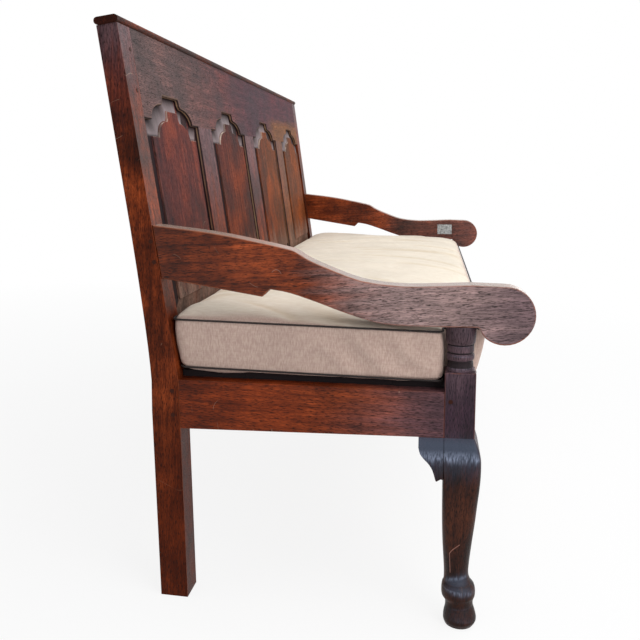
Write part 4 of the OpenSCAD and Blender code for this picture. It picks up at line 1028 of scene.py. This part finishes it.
class SETTLE_OT_pegs(bpy.types.Operator):
    """Oak pegs and the zinc mending plate with its nails"""
    bl_idname = "settle.pegs"
    bl_label = "Pegs and plate"

    def execute(self, context):
        c = tones()
        # Oak pegs: end grain that took the wax dark
        peg, tree = new_material("oak end grain, pegs")
        place = add(tree, "ShaderNodeTexCoord").outputs["Object"]
        dots = add(tree, "ShaderNodeTexNoise",
                   {"Vector": place, "Scale": 1 / END_GRAIN_GAP, "Detail": 2.0}).outputs[0]
        body = add(tree, "ShaderNodeValToRGB", {"Fac": dots}, stops=[
            (0.35, c.oak_deep), (0.6, c.peg)]).outputs[0]
        relief = add(tree, "ShaderNodeBump",
                     {"Height": dots, "Strength": 0.4, "Distance": 0.3 * MM}).outputs[0]
        shader = add(tree, "ShaderNodeBsdfPrincipled",
                     {"Base Color": body, "Roughness": 0.55, "Normal": relief, "Specular IOR Level": 0.1})
        add(tree, "ShaderNodeOutputMaterial", {"Surface": shader.outputs[0]})
        # Rolled zinc, dulled and streaked by handling
        zinc, tree = new_material("rolled zinc, mending plate")
        place = add(tree, "ShaderNodeTexCoord").outputs["Object"]
        swirl = add(tree, "ShaderNodeTexNoise", {"Vector": place, "Scale": 1 / ZINC_GAP, "Detail": 3.0,
                                                 "Distortion": 2.5}).outputs[0]
        body = add(tree, "ShaderNodeValToRGB", {"Fac": swirl}, stops=[
            (0.36, tuple(0.35 * a for a in c.zinc)), (0.56, c.zinc), (0.75, tuple(1.3 * a for a in c.zinc))])
        relief = add(tree, "ShaderNodeBump",
                     {"Height": swirl, "Strength": 0.5, "Distance": 0.4 * MM}).outputs[0]
        shader = add(tree, "ShaderNodeBsdfPrincipled", {"Base Color": body.outputs[0], "Roughness": 0.42,
                                                        "Metallic": 0.75, "Normal": relief})
        add(tree, "ShaderNodeOutputMaterial", {"Surface": shader.outputs[0]})
        dress("_pegs", peg)
        dress("mending", zinc)
        return {"FINISHED"}


def arm_under(y):
    """Height of an arm's underside over a place in Y, up to the notch behind its hollow."""
    rear = (ARM_REAR_Z - KINK_H) * math.tan(RAKE)
    share = (rear - y) / (rear - LEG_FRONT)
    for (s0, z0), (s1, z1) in zip(ARM_UNDER_SHARES, ARM_UNDER_SHARES[1:]):
        if s1 <= share <= s0:
            return ARM_REST + (z0 + (z1 - z0) * (share - s0) / (s1 - s0)) * (ARM_UNDER_Z - ARM_REST)
    return ARM_REST if share > 0.5 else ARM_UNDER_Z


def squab_plan(step=0.012):
    """Outline of the squab's seams in plan, with points about a step apart, as X and Y from the middle."""
    def turn(x, y, r, start, end):
        """Points of a rounded corner between two angles in degrees."""
        return [(x + r * math.cos(math.radians(a)), y + r * math.sin(math.radians(a)))
                for a in (start + (end - start) * i / 6 for i in range(7))]
    half = turn(TONGUE_X - FRONT_R, SQUAB_FRONT + FRONT_R, FRONT_R, -90, 0)
    half += [(TONGUE_X, SQUAB_LEG - CORNER_R), (TONGUE_X + CORNER_R / 2, SQUAB_LEG)]
    half += turn(CUSHION_X - CORNER_R, SQUAB_LEG + CORNER_R, CORNER_R, -90, 0)
    half += turn(CUSHION_X - CORNER_R, SQUAB_BACK - CORNER_R, CORNER_R, 0, 90)
    corners = half + [(-x, y) for x, y in reversed(half)]
    points = []
    for (x0, y0), (x1, y1) in zip(corners, corners[1:] + corners[:1]):
        n = max(1, round(math.hypot(x1 - x0, y1 - y0) / step))
        points += [(x0 + (x1 - x0) * i / n, y0 + (y1 - y0) * i / n) for i in range(n)]
    return points


def seam_point(x, y, share):
    """A point of the lower (0) or upper (1) seam, in the row frame."""
    back = (y - SQUAB_FRONT) / (SQUAB_BACK - SQUAB_FRONT)
    z = CUSHION_LIFT + SEAM_RISE * back + share * CUSHION_H
    tuck = max(0, (SQUAB_LEG - y) / (SQUAB_LEG - SQUAB_FRONT)) * (1 - share) * FRONT_TUCK
    y += max(0, 2 * back - 1) * z * math.tan(RAKE) + tuck
    return STAND @ Vector((x, y, DECK_TOP + y * DECK_SLOPE + z))


def ramp(value, start, end):
    """Share of the way from start to end, kept between 0 and 1."""
    return max(0.0, min(1.0, (value - start) / (end - start)))


def linen(name):
    """Linen cover: one cloth, its weave left as woven on the boxing, drawn darker there and paler where it
    faces up, as painted shade and light.
    """
    c = tones()
    material, tree = new_material(name)
    place = add(tree, "ShaderNodeTexCoord").outputs["Object"]
    up = add(tree, "ShaderNodeNewGeometry").outputs["Normal"]
    up = add(tree, "ShaderNodeSeparateXYZ", {"Vector": up}).outputs["Z"]
    # Share of the boxing's weave and painted shade, by how far the cloth turns from facing up
    side = add(tree, "ShaderNodeMapRange", {"Value": up, "From Min": 0.97, "From Max": 0.70},
               interpolation_type="SMOOTHSTEP").outputs[0]
    upright = add(tree, "ShaderNodeMapping", {"Vector": place, "Scale": (1, 1, 0.25)}).outputs[0]
    level = add(tree, "ShaderNodeMapping", {"Vector": place, "Scale": (0.12, 0.12, 1)}).outputs[0]
    across = add(tree, "ShaderNodeMapping", {"Vector": place, "Scale": (1, 0.12, 1)}).outputs[0]
    warp, weft, top = [
        add(tree, "ShaderNodeTexNoise", {"Vector": drawn, "Scale": 1 / THREAD_GAP, "Detail": 2.0}).outputs[0]
        for drawn in (upright, level, across)]
    boxing = add(tree, "ShaderNodeMath", {0: weft, 1: 0.35, 2: warp}, operation="MULTIPLY_ADD").outputs[0]
    faces = add(tree, "ShaderNodeMath", {0: weft, 1: 0.35, 2: top}, operation="MULTIPLY_ADD").outputs[0]
    weave = add(tree, "ShaderNodeMix", {0: side, 2: faces, 3: boxing}, data_type="FLOAT").outputs[0]
    weave = add(tree, "ShaderNodeMapRange", {"Value": weave, "From Min": 0.50, "From Max": 0.85}).outputs[0]
    darker = add(tree, "ShaderNodeMix", {0: weave, 6: c.linen, 7: c.linen_pale}, data_type="RGBA").outputs[2]
    lighter = add(tree, "ShaderNodeMix", {0: weave, 6: c.cream, 7: c.cream_pale}, data_type="RGBA").outputs[2]
    # Handling has left the cloth slightly uneven
    patch = add(tree, "ShaderNodeTexNoise",
                {"Vector": place, "Scale": 1 / CLOTH_PATCH, "Detail": 4.0}).outputs[0]
    uneven = add(tree, "ShaderNodeMapRange",
                 {"Value": patch, "From Min": 0.3, "From Max": 0.7, "To Min": 0.93,
                  "To Max": 1.04}).outputs[0]
    # Painted light: the boxing brightens towards the front
    reach = add(tree, "ShaderNodeSeparateXYZ", {"Vector": place}).outputs["Y"]
    painted_front_light = add(tree, "ShaderNodeMapRange",
                   {"Value": reach, "From Min": -0.12, "From Max": -0.28, "To Min": 1.0,
                    "To Max": 1.12}).outputs[0]
    darker = add(tree, "ShaderNodeMix", {0: 1.0, 6: darker, 7: painted_front_light}, data_type="RGBA",
                 blend_type="MULTIPLY").outputs[2]
    # Painted light and shade on one cloth: cream where it faces up, darker linen on the sides
    body = add(tree, "ShaderNodeMix", {0: side, 6: lighter, 7: darker}, data_type="RGBA").outputs[2]
    body = add(tree, "ShaderNodeMix", {0: 1.0, 6: body, 7: uneven}, data_type="RGBA",
               blend_type="MULTIPLY").outputs[2]
    # Painted shade with soil in the bottoms of the creases
    fold = add(tree, "ShaderNodeAttribute", attribute_name="fold").outputs["Fac"]
    body = add(tree, "ShaderNodeMix", {0: fold, 6: body, 7: c.fold}, data_type="RGBA",
               blend_type="MULTIPLY").outputs[2]
    # Slack cloth: soft creases
    slack = add(tree, "ShaderNodeMapping",
                {"Vector": place, "Scale": (1, 0.4, 0.5), "Rotation": (0.4, 0, 0.3)}).outputs[0]
    slack = add(tree, "ShaderNodeTexNoise",
                {"Vector": slack, "Scale": 1 / SLACK_GAP, "Detail": 1.0, "Distortion": 0.8}).outputs[0]
    slack = add(tree, "ShaderNodeBump", {"Height": slack, "Strength": 0.4, "Distance": 12 * MM}).outputs[0]
    relief = add(tree, "ShaderNodeBump",
                 {"Height": weave, "Strength": 0.3, "Distance": 0.5 * MM, "Normal": slack})
    relief = relief.outputs[0]
    shader = add(tree, "ShaderNodeBsdfPrincipled", {
        "Base Color": body, "Roughness": 0.88, "Normal": relief, "Sheen Weight": 0.12, "Sheen Roughness": 0.5,
        "Specular IOR Level": 0.15})
    add(tree, "ShaderNodeOutputMaterial", {"Surface": shader.outputs[0]})
    return material


class SETTLE_OT_cushion(bpy.types.Operator):
    """Boxed squab cushion: its cover swells under the filling and is held by two piped seams"""
    bl_idname = "settle.cushion"
    bl_label = "Cushion"

    def execute(self, context):
        bm = joined_copy("cushion")
        bmesh.ops.triangulate(bm, faces=bm.faces)
        mesh = bpy.data.meshes.new("squab")
        bm.to_mesh(mesh)
        bm.free()
        squab = bpy.data.objects.new("squab", mesh)
        context.scene.collection.objects.link(squab)
        mesh.materials.append(linen("linen, squab cover"))
        seams = [[seam_point(x, y, share) for x, y in squab_plan()] for share in (0, 1)]
        self.fill(context, squab, seams)
        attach(squab, "root")
        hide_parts("cushion")
        for name, seam in zip(("lower", "upper"), seams):
            self.pipe(context, name + "_piping", seam)
        return {"FINISHED"}

    def fill(self, context, squab, seams):
        """Remeshes the cover and blows it up between its seams."""
        s = sizes()
        context.view_layer.objects.active = squab
        remesh = squab.modifiers.new("Even mesh", "REMESH")
        remesh.mode = "VOXEL"
        remesh.voxel_size = s.voxel
        remesh.use_smooth_shade = True
        bpy.ops.object.modifier_apply(modifier=remesh.name)
        mesh = squab.data
        start = [v.co.copy() for v in mesh.vertices]
        tree = KDTree(sum(len(seam) for seam in seams))
        for i, point in enumerate(p for seam in seams for p in seam):
            tree.insert(point, i)
        tree.balance()
        held = [max(0.0, 1 - tree.find(co)[2] / SEAM_HOLD) for co in start]
        group = squab.vertex_groups.new(name="seams")
        for i, weight in enumerate(held):
            if weight > 0.25:
                group.add([i], 1.0, "REPLACE")
        cloth = squab.modifiers.new("Filling", "CLOTH")
        settings = cloth.settings
        settings.quality = 5
        settings.mass = 0.3
        settings.use_pressure = True
        settings.uniform_pressure_force = s.pressure
        settings.effector_weights.gravity = 0
        settings.vertex_group_mass = group.name
        settings.tension_stiffness = 12
        settings.compression_stiffness = 12
        settings.shear_stiffness = 5
        settings.bending_stiffness = 0.5
        cloth.collision_settings.use_collision = False
        for number in range(1, FILL_FRAMES + 1):
            context.scene.frame_set(number)
        bpy.ops.object.modifier_apply(modifier=cloth.name)
        context.scene.frame_set(1)
        self.settle(mesh, start, held)
        for polygon in mesh.polygons:
            polygon.use_smooth = True
        finer = squab.modifiers.new("Finer", "SUBSURF")
        finer.levels = finer.render_levels = 1

    def settle(self, mesh, start, held):
        """Caps the swell, keeps the cover off its neighbours and adds the cover's long, soft creases."""
        s = sizes()
        unstand = STAND.inverted()
        folds = mesh.attributes.new("fold", "FLOAT", "POINT")
        for vert, was, near in zip(mesh.vertices, start, held):
            move = vert.co - was
            move.z *= SWELL_UP
            if move.length > s.swell:
                move *= s.swell / move.length
            x, y, z = unstand @ (was + move)
            up = DECK_TOP + DECK_SLOPE * y
            # Soft creases run from front to back across the top
            crown = ramp(z - up, CUSHION_H, CUSHION_H + CREASE_FADE)
            wander = CREASE_WANDER * math.sin(5.0 * y + 2 * x)
            crease = noise.noise(Vector((x * CREASES[0] + wander, y * CREASES[1], 3.7)))
            broken = ramp(noise.noise(Vector((x * BREAKS[0], y * BREAKS[1], 9.1))), -0.25, 0.15)
            fold = max(0.0, 1 - abs(crease) / FOLD_SHARE) * broken
            z += crown * (CREASE_H * crease - FOLD_D * fold) * (1 - near)
            # Share of painted crease shade with soil, kept for the material
            folds.data[vert.index].value = crown * fold * (1 - near)
            # Under the arms and against the back the cover gives way
            if abs(x) > HALF_L - ARM_IN - 4 * MM and z > arm_under(y) - ARM_GAP:
                z = max(arm_under(y) - ARM_GAP, up + CUSHION_H)
            y = min(y, max(0.0, z - KINK_H) * math.tan(RAKE) - BACK_GAP)
            back = (y - SQUAB_FRONT) / (SQUAB_BACK - SQUAB_FRONT)
            # The lower edge hangs over the side rails
            hang = ramp(abs(x), HANG_X, HANG_X + HANG_FADE) * ramp(y, SQUAB_LEG, SQUAB_LEG + 0.07)
            hang *= ramp(CUSHION_LIFT + SEAM_RISE * back + up - z, 0.0, HANG_FADE) * ramp(-y, 0.0, 0.08)
            z -= HANG_D * hang
            x += math.copysign(HANG_OUT * hang, x)
            if y > LEG_FRONT + 0.012 and not hang:
                z = max(z, up + SEAT_GAP)
            if abs(x) > TONGUE_X - 0.004 and y < SQUAB_LEG + 0.02:
                x, y = self.clear_of_leg(x, y)
            # Slanting pulls in the boxing
            pull = ramp(-y, *PULL_Y) * (1 - near) * ramp(abs(x), TONGUE_X, TONGUE_X + 0.03)
            slant = (y - z) / math.sqrt(2) / PULL_GAP * math.tau
            slant += PULL_WANDER * noise.noise(Vector((y * 7, z * 7, x)))
            x = math.copysign(min(abs(x), HALF_L - 6 * MM) - PULL_D * pull * abs(math.sin(slant / 2)), x)
            vert.co = STAND @ Vector((x, y, z))

    def clear_of_leg(self, x, y):
        """Moves a point of the notch off the front leg."""
        edge_x, edge_y = HALF_L - LEG_W - NOTCH_GAP, LEG_BACK + NOTCH_GAP
        over_x, over_y = abs(x) - edge_x, edge_y - y
        if over_x > 0 and over_y > 0:
            if over_x < over_y:
                x = math.copysign(edge_x, x)
            else:
                y = edge_y
        return x, y

    def pipe(self, context, name, seam):
        """Makes the cord that is sewn into a seam."""
        c, s = tones(), sizes()
        material = bpy.data.materials.get("cotton cord, piping")
        if material is None:
            # Cotton piping: a dark, dull cord with the twill of its bias strip
            material, tree = new_material("cotton cord, piping")
            place = add(tree, "ShaderNodeTexCoord").outputs["Object"]
            twill = add(tree, "ShaderNodeTexWave",
                        {"Vector": place, "Scale": 1 / TWILL_GAP, "Distortion": 1.0}, wave_type="BANDS",
                        bands_direction="DIAGONAL").outputs[1]
            body = add(tree, "ShaderNodeMix", {0: twill, 6: tuple(0.6 * a for a in c.piping), 7: c.piping},
                       data_type="RGBA").outputs[2]
            relief = add(tree, "ShaderNodeBump",
                         {"Height": twill, "Strength": 0.4, "Distance": 0.3 * MM}).outputs[0]
            shader = add(tree, "ShaderNodeBsdfPrincipled",
                         {"Base Color": body, "Roughness": 0.8, "Normal": relief})
            add(tree, "ShaderNodeOutputMaterial", {"Surface": shader.outputs[0]})
        curve = bpy.data.curves.new(name, "CURVE")
        curve.dimensions = "3D"
        curve.bevel_depth = s.piping
        curve.bevel_resolution = 3
        spline = curve.splines.new("POLY")
        spline.points.add(len(seam) - 1)
        spline.use_cyclic_u = True
        for point, co in zip(spline.points, seam):
            point.co = (*co, 1)
        cord = bpy.data.objects.new(name, curve)
        context.scene.collection.objects.link(cord)
        context.view_layer.update()
        mesh = bpy.data.meshes.new_from_object(cord.evaluated_get(context.evaluated_depsgraph_get()))
        bpy.data.objects.remove(cord)
        mesh.materials.clear()
        mesh.materials.append(material)
        for polygon in mesh.polygons:
            polygon.use_smooth = True
        piping = bpy.data.objects.new(name, mesh)
        context.scene.collection.objects.link(piping)
        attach(piping, "root")


def seen_rays(tree):
    """One for rays that show the backdrop itself, straight or in a reflection."""
    path = add(tree, "ShaderNodeLightPath")
    seen = add(tree, "ShaderNodeMath", {0: path.outputs["Is Camera Ray"], 1: path.outputs["Is Glossy Ray"]},
               operation="MAXIMUM").outputs[0]
    return add(tree, "ShaderNodeMath", {0: seen, 1: path.outputs["Is Transmission Ray"]},
               operation="MAXIMUM").outputs[0]


class SETTLE_OT_stage(bpy.types.Operator):
    """Pale floor, soft lamps and the camera"""
    bl_idname = "settle.stage"
    bl_label = "Stage"

    def execute(self, context):
        scene = context.scene
        scene.view_settings.view_transform = "Standard"
        c = tones()
        paper, tree = new_material("matt paper, floor")
        lit = add(tree, "ShaderNodeBsdfDiffuse", {"Color": c.floor})
        white = add(tree, "ShaderNodeEmission", {"Color": (1.0, 1.0, 1.0), "Strength": 1.0})
        # The floor shows the shadow near the settle and fades to the backdrop's white
        place = add(tree, "ShaderNodeTexCoord").outputs["Object"]
        away = add(tree, "ShaderNodeVectorMath", {0: place}, operation="LENGTH").outputs["Value"]
        pale = add(tree, "ShaderNodeMapRange",
                   {"Value": away, "From Min": SHADOW_REACH[0], "From Max": SHADOW_REACH[1], "To Min": 0.86,
                    "To Max": 1.0}).outputs[0]
        seen = add(tree, "ShaderNodeMath", {0: seen_rays(tree), 1: pale}, operation="MULTIPLY").outputs[0]
        mixed = add(tree, "ShaderNodeMixShader", {0: seen, 1: lit.outputs[0], 2: white.outputs[0]})
        add(tree, "ShaderNodeOutputMaterial", {"Surface": mixed.outputs[0]})
        bm = bmesh.new()
        bmesh.ops.create_grid(bm, x_segments=1, y_segments=1, size=FLOOR_HALF_W)
        mesh = bpy.data.meshes.new("floor")
        bm.to_mesh(mesh)
        bm.free()
        mesh.materials.append(paper)
        floor = bpy.data.objects.new("floor", mesh)
        scene.collection.objects.link(floor)
        world = bpy.data.worlds.new("soft room")
        world.use_nodes = True
        scene.world = world
        tree = world.node_tree
        tree.nodes.clear()
        room = add(tree, "ShaderNodeBackground", {"Color": (0.96, 0.98, 1.0), "Strength": 0.45})
        bright = add(tree, "ShaderNodeBackground", {"Color": (1.0, 1.0, 1.0), "Strength": 1.0})
        mixed = add(tree, "ShaderNodeMixShader",
                    {0: seen_rays(tree), 1: room.outputs[0], 2: bright.outputs[0]})
        add(tree, "ShaderNodeOutputWorld", {"Surface": mixed.outputs[0]})
        for name, power, size, at, aim in LAMPS:
            data = bpy.data.lights.new(name, "AREA")
            data.energy = power
            data.shape = "SQUARE"
            data.size = size
            lamp = bpy.data.objects.new(name, data)
            lamp.location = at
            lamp.rotation_euler = (Vector(aim) - Vector(at)).to_track_quat("-Z", "Y").to_euler()
            scene.collection.objects.link(lamp)
        data = bpy.data.cameras.new("camera")
        data.lens = CAMERA_LENS
        data.sensor_width = SENSOR_W
        data.sensor_fit = "HORIZONTAL"
        data.clip_end = 200
        camera = bpy.data.objects.new("camera", data)
        right, up = Vector(CAMERA_RIGHT).normalized(), Vector(CAMERA_UP).normalized()
        turn = Matrix((right, up, right.cross(up))).transposed()
        camera.matrix_world = Matrix.Translation(CAMERA_AT) @ turn.to_4x4()
        scene.collection.objects.link(camera)
        scene.camera = camera
        return {"FINISHED"}


class SETTLE_PT_panel(bpy.types.Panel):
    """Sidebar panel with the settle's operators"""
    bl_label = "Settle"
    bl_space_type = "VIEW_3D"
    bl_region_type = "UI"
    bl_category = "Settle"

    def draw(self, context):
        column = self.layout.column()
        for operator in OPERATORS:
            column.operator(operator.bl_idname)
        for group in (context.scene.settle_sizes, context.scene.settle_colours):
            for name in group.bl_rna.properties.keys():
                if name not in ("name", "rna_type"):
                    column.prop(group, name)


OPERATORS = (SETTLE_OT_stage, SETTLE_OT_posts, SETTLE_OT_back, SETTLE_OT_panels, SETTLE_OT_legs,
             SETTLE_OT_brackets, SETTLE_OT_seat, SETTLE_OT_arms, SETTLE_OT_pegs, SETTLE_OT_cushion)
CLASSES = (SettleSizes, SettleColours, *OPERATORS, SETTLE_PT_panel)


def register():
    """Registers the classes and hangs the settings on the scene."""
    for item in CLASSES:
        bpy.utils.register_class(item)
    bpy.types.Scene.settle_sizes = bpy.props.PointerProperty(type=SettleSizes)
    bpy.types.Scene.settle_colours = bpy.props.PointerProperty(type=SettleColours)


def unregister():
    """Takes the settings and the classes away again."""
    del bpy.types.Scene.settle_colours
    del bpy.types.Scene.settle_sizes
    for item in reversed(CLASSES):
        bpy.utils.unregister_class(item)


def main():
    """Builds the settle and its stage."""
    register()
    for operator in OPERATORS:
        group, name = operator.bl_idname.split(".")
        getattr(getattr(bpy.ops, group), name)()


if __name__ == "__main__":
    main()
